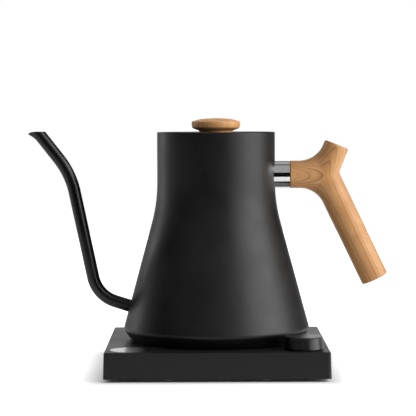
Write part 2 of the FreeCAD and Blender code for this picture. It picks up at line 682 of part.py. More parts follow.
# ---------------------------------------------------------------- the kettle's half of the connector
socket_radius = derived("socket_radius", tower_radius + gap + 4.5, "radius of the kettle's connector")
socket_top = derived("socket_top", tower_top + gap + 3.7, "top of the kettle's connector")
socket_roof = derived("socket_roof", tower_top + gap, "roof of the hollow in the kettle's connector")
plug_inner = derived("plug_inner", groove_inner + contact_thick * 2 + gap * 2, "inner radius of the plug")
plug_outer = derived("plug_outer", groove_outer - contact_thick * 2 - gap * 2, "outer radius of the plug")
plug_low = derived("plug_low", groove_floor + 1.0, "lower end of the plug")
pin_hole = derived("pin_hole", pin_radius + contact_thick + gap * 2 / 3,
                   "radius of the hole over the earth pin")
node(turned("kettle_connector", [
    (tower_radius + gap, seat_level + 0.4), (socket_radius, seat_level + 0.4), (socket_radius, socket_top),
    (0, socket_top), (0, tower_top + pin_rise + 1.0), (pin_hole, tower_top + pin_rise + 1.0),
    (pin_hole, socket_roof), (plug_inner, socket_roof), (plug_inner, plug_low), (plug_outer, plug_low),
    (plug_outer, socket_roof), (tower_radius + gap, socket_roof),
]))
contact_low = derived("contact_low", plug_low + 0.5, "lower end of the plug's contacts")
contact_top = derived("contact_top", socket_roof - 2, "upper end of the plug's contacts")
node(ring("kettle_live_contact", plug_outer, plug_outer + contact_thick, contact_low, contact_top))
node(ring("kettle_neutral_contact", plug_inner - contact_thick, plug_inner, contact_low, contact_top))
node(ring("kettle_earth_contact", pin_hole - contact_thick, pin_hole, socket_roof + 0.2,
          tower_top + pin_rise + 0.8))


# ---------------------------------------------------------------- the kettle's shell
def kettle_outline():
    """Half of the kettle's outside, from the axis at the foot to the axis at the rim."""
    return [
        (0, kettle_low), (lower_radius, kettle_low), (bevel_radius, bevel_level, bevel_round),
        (crease_radius, crease_level, crease_round), (neck_radius, neck_low, flare_radius),
        (neck_radius, rim), (0, rim),
    ]


envelope = turned("kettle_envelope", kettle_outline())

kettle = turned("kettle_body", kettle_outline())
outside = kettle.Tip
open_faces = [
    "Face%d" % (index + 1) for index, face in enumerate(outside.Shape.Faces)
    if level_edge(face, rim) or level_edge(face, kettle_low)
]
skin = kettle.newObject("PartDesign::Thickness", "kettle_body_skin")
skin.Base = (outside, open_faces)
bind(skin, "Value", wall)
skin.Reversed = True
settle(kettle)
hem_radius = derived("hem_radius", neck_radius - wall - hem_width, "inner radius of the rim")
ledge_radius = derived("ledge_radius", hem_radius - ledge_width, "inner radius of the lid's ledge")
lid_level = derived("lid_level", rim - hem_depth, "top of the lid's ledge")
revolve(kettle, "hem", [
    (neck_radius - wall / 2, lid_level - hem_depth), (ledge_radius, lid_level - hem_depth),
    (ledge_radius, lid_level), (hem_radius, lid_level), (hem_radius, rim), (neck_radius - wall / 2, rim),
])
fillet(kettle, "rim_edge", wall, lambda edge: level_edge(edge, rim) and near(edge.BoundBox.XMax, neck_radius))
root_line = tangent(root_angle)
hole_level = derived(
    "strainer_level",
    kettle_low + root_rise - (root_reach - cone_radius(kettle_low + root_rise)) * root_line,
    "height of the strainer behind the spout")
strainer = new_sketch(kettle, "strainer_holes", "YZ")
draw_circle(strainer, 0, hole_level, strainer_hole)
hole_ring = derived("strainer_ring", strainer_hole * 2.15, "radius of the ring of holes in the strainer")
for step in range(6):
    draw_circle(strainer, hole_ring * cosine(step * 60), hole_level + hole_ring * sine(step * 60), strainer_hole)
extrude(kettle, "strainer", strainer, crease_radius + 5, cuts=True)
node(kettle)

# the floor, and the heater under it
floor_inset = derived("floor_inset", cone_skin + slip * 2, "how far the floor's edge is inside the cone")
floor_edge = derived("floor_edge", cone_radius(floor_level) - floor_inset, "radius of the floor's underside")
lip_level = derived("floor_lip", floor_level - 3.4, "lower edge of the floor's lip")
lip_edge = derived("floor_lip_edge", cone_radius(lip_level) - floor_inset, "radius of the floor's lip")
floor_top = derived("floor_top", floor_level + floor_thick, "top of the floor")
floor_top_edge = derived("floor_top_edge", cone_radius(floor_top) - floor_inset, "radius of the floor's top")
probe_radius = size("probe_radius", 2.5, "radius of the temperature probe")
seal_radius = size("seal_radius", 4.4, "radius of the probe's seal")
spreader_thick = size("spreader_thick", 2.4, "thickness of the heat spreader")
spreader_low = derived("spreader_low", floor_level - spreader_thick, "underside of the heat spreader")
cover_edge = derived("cover_edge", lower_radius - wall * 2, "radius of the cover")
foot_ring_outer = derived("foot_ring_outer", cover_edge - 2.0, "outer radius of the foot ring")
foot_ring_width = size("foot_ring_width", 4, "width of the foot ring")
cover_screw_ring = derived("cover_screw_ring", foot_ring_outer - foot_ring_width - 9.7,
                           "distance of the cover's screws from the axis")
cover_screws = [
    (cover_screw_ring * cosine(90 + turn * 120), cover_screw_ring * sine(90 + turn * 120)) for turn in range(3)
]
element_ring = derived("element_ring", cover_screw_ring - 10, "radius of the heating element's ring")
probe_x = derived("probe_x", element_ring - 12, "place of the temperature probe")
pan = turned("kettle_floor", [
    (0, floor_level), (floor_edge - floor_thick, floor_level), (lip_edge - floor_thick, lip_level),
    (lip_edge, lip_level), (floor_top_edge, floor_top), (0, floor_top),
])
circles(pan, "probe_hole", [(probe_x, 0)], probe_radius + slip, floor_level - 1, floor_thick + 2, cuts=True)
node(pan)
spreader_radius = derived("spreader_radius", cover_screw_ring + 6, "radius of the heat spreader")
spreader = disc("heat_spreader", spreader_radius, spreader_low, floor_level - 0.02)
circles(spreader, "seal_hole", [(probe_x, 0)], seal_radius + slip, spreader_low - 1, spreader_thick + 2,
        cuts=True)
circles(spreader, "pilot_holes", cover_screws, screw_radius + slip, spreader_low - 1, 3, cuts=True)
node(spreader)
element_radius = size("element_radius", 2.8, "radius of the heating element's tube")
element_level = derived("element_level", spreader_low - element_radius - 0.02, "height of the element's centre")
element = new_body("heating_element")
tube = new_sketch(element, "tube", "XZ")
draw_circle(tube, element_ring, element_level, element_radius)
turn = feature(element, "Revolution", tube, "turn")
turn.ReferenceAxis = (tube, ["V_Axis"])
turn.Angle = 330
settle(element)
node(element)
tail_angles = (-6, 336)
group("element_terminals", [
    primitive("Cylinder", "element_terminal_%d" % (index + 1), element_ring * cosine(angle),
              element_ring * sine(angle), element_level - 4, Radius=1.4, Height=5.5)
    for index, angle in enumerate(tail_angles)
])
cutout_radius = size("cutout_radius", 9, "radius of the thermal cutout")
node(disc("thermal_cutout", cutout_radius, socket_top + 0.02, spreader_low - 0.1))
probe_top = derived("probe_top", floor_top + 8, "top of the temperature probe")
node(turned("temperature_probe", [
    (0, socket_top + 0.2), (probe_radius, socket_top + 0.2), (probe_radius, probe_top, 1.5), (0, probe_top),
], probe_x, 0))
node(ring("probe_seal", probe_radius + slip, seal_radius, spreader_low, floor_level - 0.02, probe_x, 0))

# the cover under the kettle, with the foot ring it stands on
cover_level = derived("cover_level", kettle_low + 1.5, "underside of the cover")
cover_thick = size("cover_thick", 2.0, "thickness of the cover")
cover_top = derived("cover_top", cover_level + cover_thick, "top of the cover")
cover = turned("bottom_cover", [
    (socket_radius + slip, cover_level), (foot_ring_outer - foot_ring_width, cover_level),
    (foot_ring_outer - foot_ring_width, kettle_low),
    (foot_ring_outer, kettle_low), (foot_ring_outer, cover_level), (cover_edge, cover_level, 0.5),
    (cover_edge, cover_top), (socket_radius + slip, cover_top),
])
circles(cover, "posts", cover_screws, boss_radius, cover_top - 0.5, spreader_low - cover_top + 0.48)
head_sunk = size("head_sunk", 0.8, "how far the cover's screw heads are sunk")
head_low = derived("cover_head_low", cover_level + head_sunk - screw_head_height,
                   "lower end of the cover's screws")
circles(cover, "screw_holes", cover_screws, screw_radius + slip, cover_level - 1, 14, cuts=True)
circles(cover, "head_seats", cover_screws, screw_head + slip, cover_level - 1, 1 + head_sunk + slip, cuts=True)
node(cover)
screws("bottom_cover_screws", cover_screws, screw_head, head_low, screw_head_height,
       screw_radius, spreader_low - head_low + 1.2, screw_key)

# ---------------------------------------------------------------- spout
bend_level = derived("bend_level", kettle_low + root_rise, "level of the spout's lower bend")
upper_level = derived("upper_bend_level", bend_level + rise_height, "level of the spout's upper bend")
mouth_level = derived("mouth_level", upper_level + mouth_height, "level of the spout's mouth")
upper_reach = derived("upper_bend_reach", root_reach + rise_height * tangent(rise_angle),
                      "reach of the spout's upper bend")
past_mouth = 8
root_inside = derived("root_inside", cone_radius(bend_level) - 10, "where the spout's tube begins in the wall")
tube_body = new_body("spout_tube")
route = new_sketch(tube_body, "route", "XZ")
draw_line(route, [
    (-root_inside, bend_level - (root_reach - root_inside) * root_line),
    (-root_reach, bend_level, lower_bend),
    (-upper_reach, upper_level, upper_bend),
    (-(upper_reach + (mouth_height + past_mouth) * tangent(mouth_angle)), mouth_level + past_mouth),
], closed=False)
section = new_sketch(tube_body, "section", "YZ")
section.AttachmentOffset = Placement(Vector(0, 0, 0), Rotation(Vector(1, 0, 0), root_angle.value))
bind(section, "AttachmentOffset.Rotation.Angle", root_angle)
bind(section, "AttachmentOffset.Base.y", bend_level - (root_reach - root_inside) * root_line)
bind(section, "AttachmentOffset.Base.z", -root_inside)
draw_circle(section, 0, 0, spout_radius)
draw_circle(section, 0, 0, spout_bore)
doc.recompute()
pipe = feature(tube_body, "AdditivePipe", section, "pipe")
pipe.Spine = (route, ["Edge%d" % (index + 1) for index in range(len(route.Shape.Edges))])
settle(tube_body)
mouth_cut = new_sketch(tube_body, "mouth_outline", "XZ")
mouth_reach = upper_reach + mouth_height * tangent(mouth_angle)
draw_rectangle(mouth_cut, -mouth_reach, mouth_level + past_mouth * 2, past_mouth * 6, past_mouth * 4)
extrude(tube_body, "mouth", mouth_cut, spout_radius * 4, cuts=True, both=True)
spout = doc.addObject("Part::Cut", "spout")
spout.Base, spout.Tool = tube_body, envelope
node(spout)

# ---------------------------------------------------------------- handle
handle_level = derived("handle_level", rim - handle_drop, "level of the middle of the handle's neck")
handle_half = derived("handle_half", handle_thick / 2, "half the thickness of the handle")
ferrule_face = derived("ferrule_face", neck_radius + ferrule_end, "face where the wood begins")
middle = derived("handle_middle", ferrule_face + handle_reach, "where neck, horn and grip meet")
ferrule_bar = turned("ferrule_bar", [
    (stud_radius + slip, neck_radius - 4), (handle_half, neck_radius - 4), (handle_half, ferrule_face, 0.4),
    (stud_radius + slip, ferrule_face),
])
ferrule_bar.Placement.Rotation = Rotation(Vector(0, 1, 0), 90)
bind(ferrule_bar, "Placement.Base.z", handle_level)
ferrule = doc.addObject("Part::Cut", "ferrule")
ferrule.Base, ferrule.Tool = ferrule_bar, envelope
node(ferrule)
stud_end = derived("stud_end", ferrule_face + 14, "end of the handle's stud")
stud = turned("handle_stud", [
    (0, neck_radius), (stud_radius, neck_radius), (stud_radius, stud_end, 0.6), (0, stud_end),
])
stud.Placement.Rotation = Rotation(Vector(0, 1, 0), 90)
bind(stud, "Placement.Base.z", handle_level)
node(stud)
insert = turned("handle_insert", [
    (stud_radius + slip, ferrule_face + 2), (insert_radius, ferrule_face + 2),
    (insert_radius, stud_end - 1), (stud_radius + slip, stud_end - 1),
])
insert.Placement.Rotation = Rotation(Vector(0, 1, 0), 90)
bind(insert, "Placement.Base.z", handle_level)
node(insert)

grip_end_x = middle + grip_length * sine(grip_angle)
grip_end_z = handle_level - grip_length * cosine(grip_angle)
horn_end_x = middle + horn_length * sine(horn_angle)
horn_end_z = handle_level + horn_length * cosine(horn_angle)
grip_side_x = handle_half * cosine(grip_angle)
grip_side_z = handle_half * sine(grip_angle)
horn_side_x = horn_width / 2 * cosine(horn_angle)
horn_side_z = horn_width / 2 * sine(horn_angle)
inner_low_x = middle - handle_half / cosine(grip_angle) + handle_half * tangent(grip_angle)
inner_high_x = middle - horn_width / 2 / cosine(horn_angle) + handle_half * tangent(horn_angle)
# the outer hollow is where the outer sides of horn and grip cross
outer_low = middle + handle_half / cosine(grip_angle)
outer_high = middle + horn_width / 2 / cosine(horn_angle)
cross_drop = (outer_high - outer_low) / (tangent(grip_angle) + tangent(horn_angle))
handle = new_body("handle")
side = new_sketch(handle, "side_outline", "XZ")
draw_line(side, [
    (ferrule_face + slip, handle_level - handle_half),
    (inner_low_x, handle_level - handle_half, inner_round),
    (grip_end_x - grip_side_x, grip_end_z - grip_side_z),
    (grip_end_x + grip_side_x, grip_end_z + grip_side_z),
    (outer_low + cross_drop * tangent(grip_angle), handle_level - cross_drop, outer_round),
    (horn_end_x + horn_side_x, horn_end_z - horn_side_z),
    (horn_end_x - horn_side_x, horn_end_z + horn_side_z),
    (inner_high_x, handle_level + handle_half, inner_round),
    (ferrule_face + slip, handle_level + handle_half),
])
extrude(handle, "blank", side, handle_thick, both=True)


def long_edge(edge):
    """An edge of the handle's flat sides that isn't at one of its three ends."""
    middle_point = edge.CenterOfMass
    flat = near(abs(edge.BoundBox.YMin), handle_half) and near(edge.BoundBox.YLength, 0)
    at_neck = near(middle_point.x, ferrule_face + slip)
    at_grip = near((middle_point - Vector(grip_end_x.value, middle_point.y, grip_end_z.value)).Length, 0)
    at_horn = near((middle_point - Vector(horn_end_x.value, middle_point.y, horn_end_z.value)).Length, 0)
    return flat and not (at_neck or at_grip or at_horn)


fillet(handle, "long_edges", handle_edge, long_edge)
bore = new_sketch(handle, "bore_outline", "YZ", ferrule_face - 1)
draw_circle(bore, 0, handle_level, insert_radius + slip)
extrude(handle, "bore", bore, stud_end - ferrule_face + 2, cuts=True, backwards=True)
node(handle)

# ---------------------------------------------------------------- lid
lid_bottom = derived("lid_bottom", lid_level + 0.1, "underside of the lid's top")
lid_top = derived("lid_top", lid_bottom + lid_thick, "top of the lid")
skirt_radius = derived("skirt_radius", ledge_radius - 0.7, "outer radius of the lid's skirt")
skirt_low = derived("skirt_low", lid_bottom - lid_skirt_depth, "lower edge of the lid's skirt")
knob_bore = size("knob_bore", 2.05, "radius of the hole for the knob's screw")
vent_ring = derived("vent_ring", skirt_radius - 10.4, "distance of the lid's vents from the axis")
vent_places = [(vent_ring * cosine(turn * 24 + 66), vent_ring * sine(turn * 24 + 66)) for turn in range(3)]
lid_disc = ring("lid_disc", knob_bore, hem_radius - gap, lid_bottom, lid_top)
circles(lid_disc, "vents", vent_places, 1.3, lid_bottom - 1, lid_thick + 2, cuts=True)
node(lid_disc)
node(ring("lid_skirt", skirt_radius - wall, skirt_radius, skirt_low, lid_bottom))
seal_level = derived("seal_level", lid_bottom - 5, "lower edge of the lid's seal")
node(turned("lid_seal", [
    (skirt_radius + 0.02, seal_level), (ledge_radius - gap, seal_level + 1.2, 0.4),
    (skirt_radius + 0.02, seal_level + 2.4),
]))
inner_disc = disc("lid_inner_disc", skirt_radius - wall - 0.02, skirt_low + 1, skirt_low + 2)
circles(inner_disc, "vents", vent_places, 2, skirt_low, 4, cuts=True)
node(inner_disc)
knob_top = derived("knob_top", lid_top + knob_height, "top of the lid's knob")
shoulder = derived("knob_shoulder", knob_top - 3.4, "top of the knob's side")
insert_top = derived("knob_insert_top", lid_top + 7, "top of the knob's brass insert")
node(turned("lid_knob", [
    (3.55, lid_top), (knob_foot, lid_top), (knob_foot + 0.1, lid_top + 1.2, 1.0),
    (knob_radius, lid_top + 4.6, 2.5),
    (knob_radius - 0.1, shoulder, 2.2), (knob_radius * 0.55, knob_top - 0.5, 24), (0, knob_top),
    (0, insert_top + 1), (3.55, insert_top + 1),
]))
node(ring("knob_insert", knob_bore - 0.05, 3.5, lid_top + 0.5, insert_top))
node(ring("knob_washer", knob_bore, 6, lid_bottom - 1, lid_bottom - 0.02))
node(turned("knob_screw", [
    (0, lid_bottom - 2.8), (3.4, lid_bottom - 2.8, 0.6), (3.4, lid_bottom - 1.02),
    (knob_bore - 0.1, lid_bottom - 1.02),
    (knob_bore - 0.1, insert_top - 0.5), (0, insert_top - 0.5),
]))

# ---------------------------------------------------------------- check and export
doc.recompute()
faulty = [item.Name for item in doc.Objects if {"Invalid", "Error"} & set(item.State)]
faulty += [item.Name for item in nodes if item.Shape.isNull() or not item.Shape.isValid()]
if faulty:
    raise ValueError("these did not build: " + ", ".join(faulty))
os.makedirs("parts", exist_ok=True)
for item in nodes:
    item.Shape.exportStep(os.path.join("parts", item.Label + ".step"))
    print("%-24s %d solid(s) %10.1f mm3" % (item.Label, len(item.Shape.Solids), item.Shape.Volume))
print(len(nodes), "nodes")
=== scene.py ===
import math

import bmesh
import bpy
import numpy as np
from mathutils import Matrix, Vector


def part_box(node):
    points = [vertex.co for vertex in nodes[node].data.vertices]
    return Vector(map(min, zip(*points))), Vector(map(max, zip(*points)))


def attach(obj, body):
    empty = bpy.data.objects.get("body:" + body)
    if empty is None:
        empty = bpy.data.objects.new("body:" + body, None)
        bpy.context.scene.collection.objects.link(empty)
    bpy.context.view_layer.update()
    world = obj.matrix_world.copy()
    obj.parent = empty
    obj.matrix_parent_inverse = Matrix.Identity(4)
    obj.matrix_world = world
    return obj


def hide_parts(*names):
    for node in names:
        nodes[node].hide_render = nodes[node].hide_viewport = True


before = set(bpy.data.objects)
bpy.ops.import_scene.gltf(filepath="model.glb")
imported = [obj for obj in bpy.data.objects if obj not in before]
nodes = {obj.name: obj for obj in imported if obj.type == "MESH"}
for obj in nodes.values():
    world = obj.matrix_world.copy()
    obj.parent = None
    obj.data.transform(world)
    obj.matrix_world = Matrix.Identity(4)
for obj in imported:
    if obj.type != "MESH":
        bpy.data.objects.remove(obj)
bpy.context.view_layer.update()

mm = 0.001


# surfaces: every new piece is a grid of points worked out as whole arrays
def gridQuads(rows, columns, wrapRows=False, wrapColumns=False):
    # corner numbers of the quads between neighbours on a grid of rows x columns points
    index = np.arange(rows * columns).reshape(rows, columns)
    if wrapRows:
        index = np.vstack([index, index[:1]])
    if wrapColumns:
        index = np.hstack([index, index[:, :1]])
    return np.stack([index[:-1, :-1], index[:-1, 1:], index[1:, 1:], index[1:, :-1]], axis=-1).reshape(-1, 4)


def finishPiece(name, mesh, material, body, replaced=(), slotName=None, sharpAngle=32, weld=1e-6):
    # welds seams and poles, turns the normals outwards, and hangs the piece on its body
    work = bmesh.new()
    work.from_mesh(mesh)
    bmesh.ops.remove_doubles(work, verts=work.verts, dist=weld)
    bmesh.ops.dissolve_degenerate(work, edges=work.edges, dist=weld / 4)
    bmesh.ops.recalc_face_normals(work, faces=work.faces)
    work.to_mesh(mesh)
    work.free()
    mesh.shade_smooth()
    if sharpAngle:
        mesh.set_sharp_from_angle(angle=math.radians(sharpAngle))
    mesh.materials.append(material)
    piece = bpy.data.objects.new(name, mesh)
    bpy.context.scene.collection.objects.link(piece)
    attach(piece, body)
    if replaced:
        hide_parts(*replaced)
    return piece


def pieceFromGrid(name, points, material, body, replaced=(), slotName=None, wrapRows=False, wrapColumns=False,
                  **finish):
    # points is rows x columns x 3 in metres
    mesh = bpy.data.meshes.new(name)
    quads = gridQuads(*points.shape[:2], wrapRows, wrapColumns)
    mesh.from_pydata(points.reshape(-1, 3).tolist(), [], quads.tolist())
    return finishPiece(name, mesh, material, body, replaced, slotName, **finish)


def roundedLine(corners, arcSteps=10, spacing=None):
    # a polyline through (x, y, radius) corners in which each radius becomes an arc of arcSteps chords,
    # and straight runs are divided so that no step is longer than spacing
    spots = np.array([corner[:2] for corner in corners], float)
    count = len(spots)
    pieces = []
    for k in range(count):
        radius = corners[k][2] if len(corners[k]) > 2 else 0
        if radius <= 0:
            pieces.append(spots[k:k + 1])
            continue
        back = spots[k - 1] - spots[k]
        ahead = spots[(k + 1) % count] - spots[k]
        back /= np.linalg.norm(back)
        ahead /= np.linalg.norm(ahead)
        half = math.acos(float(np.clip(back @ ahead, -1, 1))) / 2
        middle = (back + ahead) / np.linalg.norm(back + ahead)
        centre = spots[k] + middle * radius / math.sin(half)
        start = spots[k] + back * radius / math.tan(half) - centre
        side = np.array([-start[1], start[0]])
        if side @ ahead < 0:
            side = -side
        turn = np.linspace(0, math.pi - 2 * half, arcSteps + 1)[:, None]
        pieces.append(centre + start * np.cos(turn) + side * np.sin(turn))
    line = np.vstack(pieces)
    if spacing:
        lengths = np.linalg.norm(np.diff(line, axis=0), axis=1)
        parts = np.maximum(1, np.ceil(lengths / spacing)).astype(int)
        spans = [line[k] + (line[k + 1] - line[k]) * (np.arange(n) / n)[:, None] for k, n in enumerate(parts)]
        line = np.vstack(spans + [line[-1:]])
    return line


def turnedGrid(profile, segments, centre=(0, 0)):
    # a profile of (radius, height) in mm carried once round an upright axis
    turn = np.linspace(0, 2 * math.pi, segments, endpoint=False)
    radius, height = profile[:, :1], profile[:, 1:]
    x = centre[0] + radius * np.cos(turn)
    y = centre[1] + radius * np.sin(turn)
    return np.stack([x, y, np.broadcast_to(height, x.shape)], axis=-1) * mm


# shader helpers
def startMaterial(name, **settings):
    material = bpy.data.materials.new(name)
    material.use_nodes = True
    shader = material.node_tree.nodes["Principled BSDF"]
    for label, value in settings.items():
        shader.inputs[label.replace("_", " ")].default_value = value
    return material, material.node_tree, shader


def addNode(tree, kind, **settings):
    node = tree.nodes.new(kind)
    for label, value in settings.items():
        setattr(node, label, value)
    return node


def feed(tree, value, socket):
    if hasattr(value, "links"):
        tree.links.new(value, socket)
    else:
        socket.default_value = value


def compute(tree, operation, first, second=0.0, clamp=False):
    node = addNode(tree, "ShaderNodeMath", operation=operation, use_clamp=clamp)
    feed(tree, first, node.inputs[0])
    feed(tree, second, node.inputs[1])
    return node.outputs[0]


def noise(tree, vector, scale, detail=2.0, roughness=0.5, distortion=0.0):
    node = addNode(tree, "ShaderNodeTexNoise")
    feed(tree, vector, node.inputs["Vector"])
    feed(tree, scale, node.inputs["Scale"])
    node.inputs["Detail"].default_value = detail
    node.inputs["Roughness"].default_value = roughness
    node.inputs["Distortion"].default_value = distortion
    return node.outputs["Fac"]


def rescale(tree, value, low, high, newLow, newHigh):
    node = addNode(tree, "ShaderNodeMapRange")
    feed(tree, value, node.inputs["Value"])
    for label, number in zip(("From Min", "From Max", "To Min", "To Max"), (low, high, newLow, newHigh)):
        feed(tree, number, node.inputs[label])
    return node.outputs["Result"]


def mixColours(tree, factor, first, second):
    node = addNode(tree, "ShaderNodeMix", data_type="RGBA")
    feed(tree, factor, node.inputs["Factor"])
    feed(tree, first, node.inputs[6])           # the colour sockets share their names with the plain ones,
    feed(tree, second, node.inputs[7])          # so they are found by number
    return node.outputs[2]


def objectPlace(tree, scale=(1000, 1000, 1000), turn=(0, 0, 0), shift=(0, 0, 0)):
    # the object's own coordinates in millimetres, turned and stretched for the pattern
    coordinates = addNode(tree, "ShaderNodeTexCoord")
    mapping = addNode(tree, "ShaderNodeMapping")
    tree.links.new(coordinates.outputs["Object"], mapping.inputs["Vector"])
    mapping.inputs["Scale"].default_value = scale
    mapping.inputs["Rotation"].default_value = turn
    mapping.inputs["Location"].default_value = shift
    return mapping.outputs["Vector"]


def bumpFrom(tree, height, shader, distance):
    bump = addNode(tree, "ShaderNodeBump")
    bump.inputs["Distance"].default_value = distance
    bump.inputs["Strength"].default_value = 1.0
    tree.links.new(height, bump.inputs["Height"])
    tree.links.new(bump.outputs["Normal"], shader.inputs["Normal"])


def startGroup(name, inputs, outputs):
    group = bpy.data.node_groups.new(name, "ShaderNodeTree")
    for label, kind, value in inputs:
        socket = group.interface.new_socket(name=label, in_out="INPUT", socket_type=kind)
        if value is not None:
            socket.default_value = value
    for label, kind in outputs:
        group.interface.new_socket(name=label, in_out="OUTPUT", socket_type=kind)
    return group, group.nodes.new("NodeGroupInput"), group.nodes.new("NodeGroupOutput")


def useGroup(tree, group, **values):
    node = addNode(tree, "ShaderNodeGroup", node_tree=group)
    for label, value in values.items():
        feed(tree, value, node.inputs[label.replace("_", " ")])
    return node.outputs


floatSocket, vectorSocket = "NodeSocketFloat", "NodeSocketVector"


# effects shared by several finishes
def buildFineGrain():
    # fine grain of a powder coat or a spark-eroded mould, with soft patches where the finish is uneven
    group, given, made = startGroup("fineGrain", [
        ("Place", vectorSocket, None), ("Grain Size", floatSocket, 0.25), ("Patch Size", floatSocket, 20.0),
    ], [("Height", floatSocket), ("Patch", floatSocket), ("Speck", floatSocket)])
    fine = compute(group, "DIVIDE", 1.0, given.outputs["Grain Size"])
    coarse = compute(group, "DIVIDE", fine, 3.1)
    small = noise(group, given.outputs["Place"], fine, 2.0, 0.6)
    large = noise(group, given.outputs["Place"], coarse, 1.0, 0.5)
    both = compute(group, "ADD", compute(group, "MULTIPLY", small, 0.65),
                   compute(group, "MULTIPLY", large, 0.35))
    patchScale = compute(group, "DIVIDE", 1.0, given.outputs["Patch Size"])
    patch = noise(group, given.outputs["Place"], patchScale, 3.0, 0.55)
    group.links.new(both, made.inputs["Height"])
    group.links.new(rescale(group, patch, 0.3, 0.7, 0.0, 1.0), made.inputs["Patch"])
    group.links.new(rescale(group, small, 0.6, 0.75, 0.0, 1.0), made.inputs["Speck"])
    return group


def buildGrowthRings():
    # growth rings of a board: depth into the board plus a slow wobble, cut into layers that each darken
    # to a thin line
    group, given, made = startGroup("growthRings", [
        ("Place", vectorSocket, None), ("Spacing", floatSocket, 2.4), ("Wobble", floatSocket, 1.5),
        ("Wobble Size", floatSocket, 30.0), ("Sharpness", floatSocket, 5.0),
    ], [("Ring", floatSocket), ("Tone", floatSocket)])
    split = addNode(group, "ShaderNodeSeparateXYZ")
    group.links.new(given.outputs["Place"], split.inputs[0])
    slowScale = compute(group, "DIVIDE", 1.0, given.outputs["Wobble Size"])
    slow = noise(group, given.outputs["Place"], slowScale, 2.0, 0.45)
    lean = compute(group, "MULTIPLY", compute(group, "SUBTRACT", slow, 0.5), given.outputs["Wobble"])
    leaned = compute(group, "ADD", split.outputs["Y"], lean)
    depth = compute(group, "DIVIDE", leaned, given.outputs["Spacing"])
    part = compute(group, "FRACT", depth)
    ring = compute(group, "POWER", part, given.outputs["Sharpness"])
    fade = compute(group, "SUBTRACT", 1.0, rescale(group, part, 0.96, 1.0, 0.0, 1.0))
    layer = compute(group, "FLOOR", depth)
    random = addNode(group, "ShaderNodeTexWhiteNoise", noise_dimensions="1D")
    group.links.new(layer, random.inputs["W"])
    strength = rescale(group, random.outputs["Value"], 0.0, 1.0, 0.35, 1.0)
    shown = compute(group, "MULTIPLY", compute(group, "MULTIPLY", ring, fade), strength)
    group.links.new(shown, made.inputs["Ring"])
    group.links.new(random.outputs["Value"], made.inputs["Tone"])
    return group


def buildFibres():
    # long fibres and short pores along the third direction of the place
    group, given, made = startGroup("woodFibres", [
        ("Place", vectorSocket, None), ("Fibre Width", floatSocket, 0.35), ("Stretch", floatSocket, 14.0),
        ("Pore Width", floatSocket, 0.28),
    ], [("Fibre", floatSocket), ("Pore", floatSocket), ("Cloud", floatSocket)])
    squeeze = addNode(group, "ShaderNodeCombineXYZ")
    squeeze.inputs[0].default_value = 1.0
    squeeze.inputs[1].default_value = 1.0
    group.links.new(compute(group, "DIVIDE", 1.0, given.outputs["Stretch"]), squeeze.inputs[2])
    along = addNode(group, "ShaderNodeVectorMath", operation="MULTIPLY")
    group.links.new(given.outputs["Place"], along.inputs[0])
    group.links.new(squeeze.outputs[0], along.inputs[1])
    fibreScale = compute(group, "DIVIDE", 1.0, given.outputs["Fibre Width"])
    poreScale = compute(group, "DIVIDE", 1.0, given.outputs["Pore Width"])
    fibre = noise(group, along.outputs[0], fibreScale, 3.0, 0.6)
    pore = noise(group, along.outputs[0], poreScale, 0.0, 0.5)
    cloud = noise(group, given.outputs["Place"], 0.06, 3.0, 0.5)
    group.links.new(fibre, made.inputs["Fibre"])
    group.links.new(rescale(group, pore, 0.68, 0.76, 0.0, 1.0), made.inputs["Pore"])
    group.links.new(cloud, made.inputs["Cloud"])
    return group


def buildToolMarks():
    # fine lines left by turning or brushing, and softer smears: a stretched place draws the noise out
    group, given, made = startGroup("toolMarks", [
        ("Place", vectorSocket, None), ("Line Width", floatSocket, 0.12), ("Smear Size", floatSocket, 9.0),
    ], [("Line", floatSocket), ("Smear", floatSocket)])
    lineScale = compute(group, "DIVIDE", 1.0, given.outputs["Line Width"])
    smearScale = compute(group, "DIVIDE", 1.0, given.outputs["Smear Size"])
    line = noise(group, given.outputs["Place"], lineScale, 2.0, 0.6)
    smear = noise(group, given.outputs["Place"], smearScale, 3.0, 0.6, 0.6)
    group.links.new(line, made.inputs["Line"])
    group.links.new(rescale(group, smear, 0.35, 0.7, 0.0, 1.0), made.inputs["Smear"])
    return group


fineGrain = buildFineGrain()
growthRings = buildGrowthRings()
woodFibres = buildFibres()
toolMarks = buildToolMarks()
print("shared effects built")


# finishes
def grainedFinish(name, colour, roughness, grain, height, patch=22.0, specular=0.5, roughSpread=0.05):
    # a matt finish: tiny grain in the bump, roughness that drifts slowly, faint lighter specks
    material, tree, shader = startMaterial(name, Specular_IOR_Level=specular)
    effect = useGroup(tree, fineGrain, Place=objectPlace(tree), Grain_Size=grain, Patch_Size=patch)
    lighter = tuple(min(1.0, channel * 1.5 + 0.002) for channel in colour)
    base = mixColours(tree, compute(tree, "MULTIPLY", effect["Speck"], 0.5), (*colour, 1), (*lighter, 1))
    tree.links.new(base, shader.inputs["Base Color"])
    tree.links.new(rescale(tree, effect["Patch"], 0, 1, roughness - roughSpread, roughness + roughSpread),
                   shader.inputs["Roughness"])
    bumpFrom(tree, effect["Height"], shader, height * mm)
    return material


def workedMetal(name, colour, roughness, stretch=(1000, 1000, 1000), lineWidth=0.12, depth=0.004,
                spread=0.06):
    # bare metal with fine tool lines and a little smearing in its gloss
    material, tree, shader = startMaterial(name, Metallic=1.0)
    effect = useGroup(tree, toolMarks, Place=objectPlace(tree, stretch), Line_Width=lineWidth)
    darker = tuple(channel * 0.86 for channel in colour)
    base = mixColours(tree, compute(tree, "MULTIPLY", effect["Line"], 0.5), (*colour, 1), (*darker, 1))
    tree.links.new(base, shader.inputs["Base Color"])
    gloss = rescale(tree, effect["Smear"], 0, 1, roughness, roughness + spread)
    tree.links.new(gloss, shader.inputs["Roughness"])
    bumpFrom(tree, effect["Line"], shader, depth * mm)
    return material


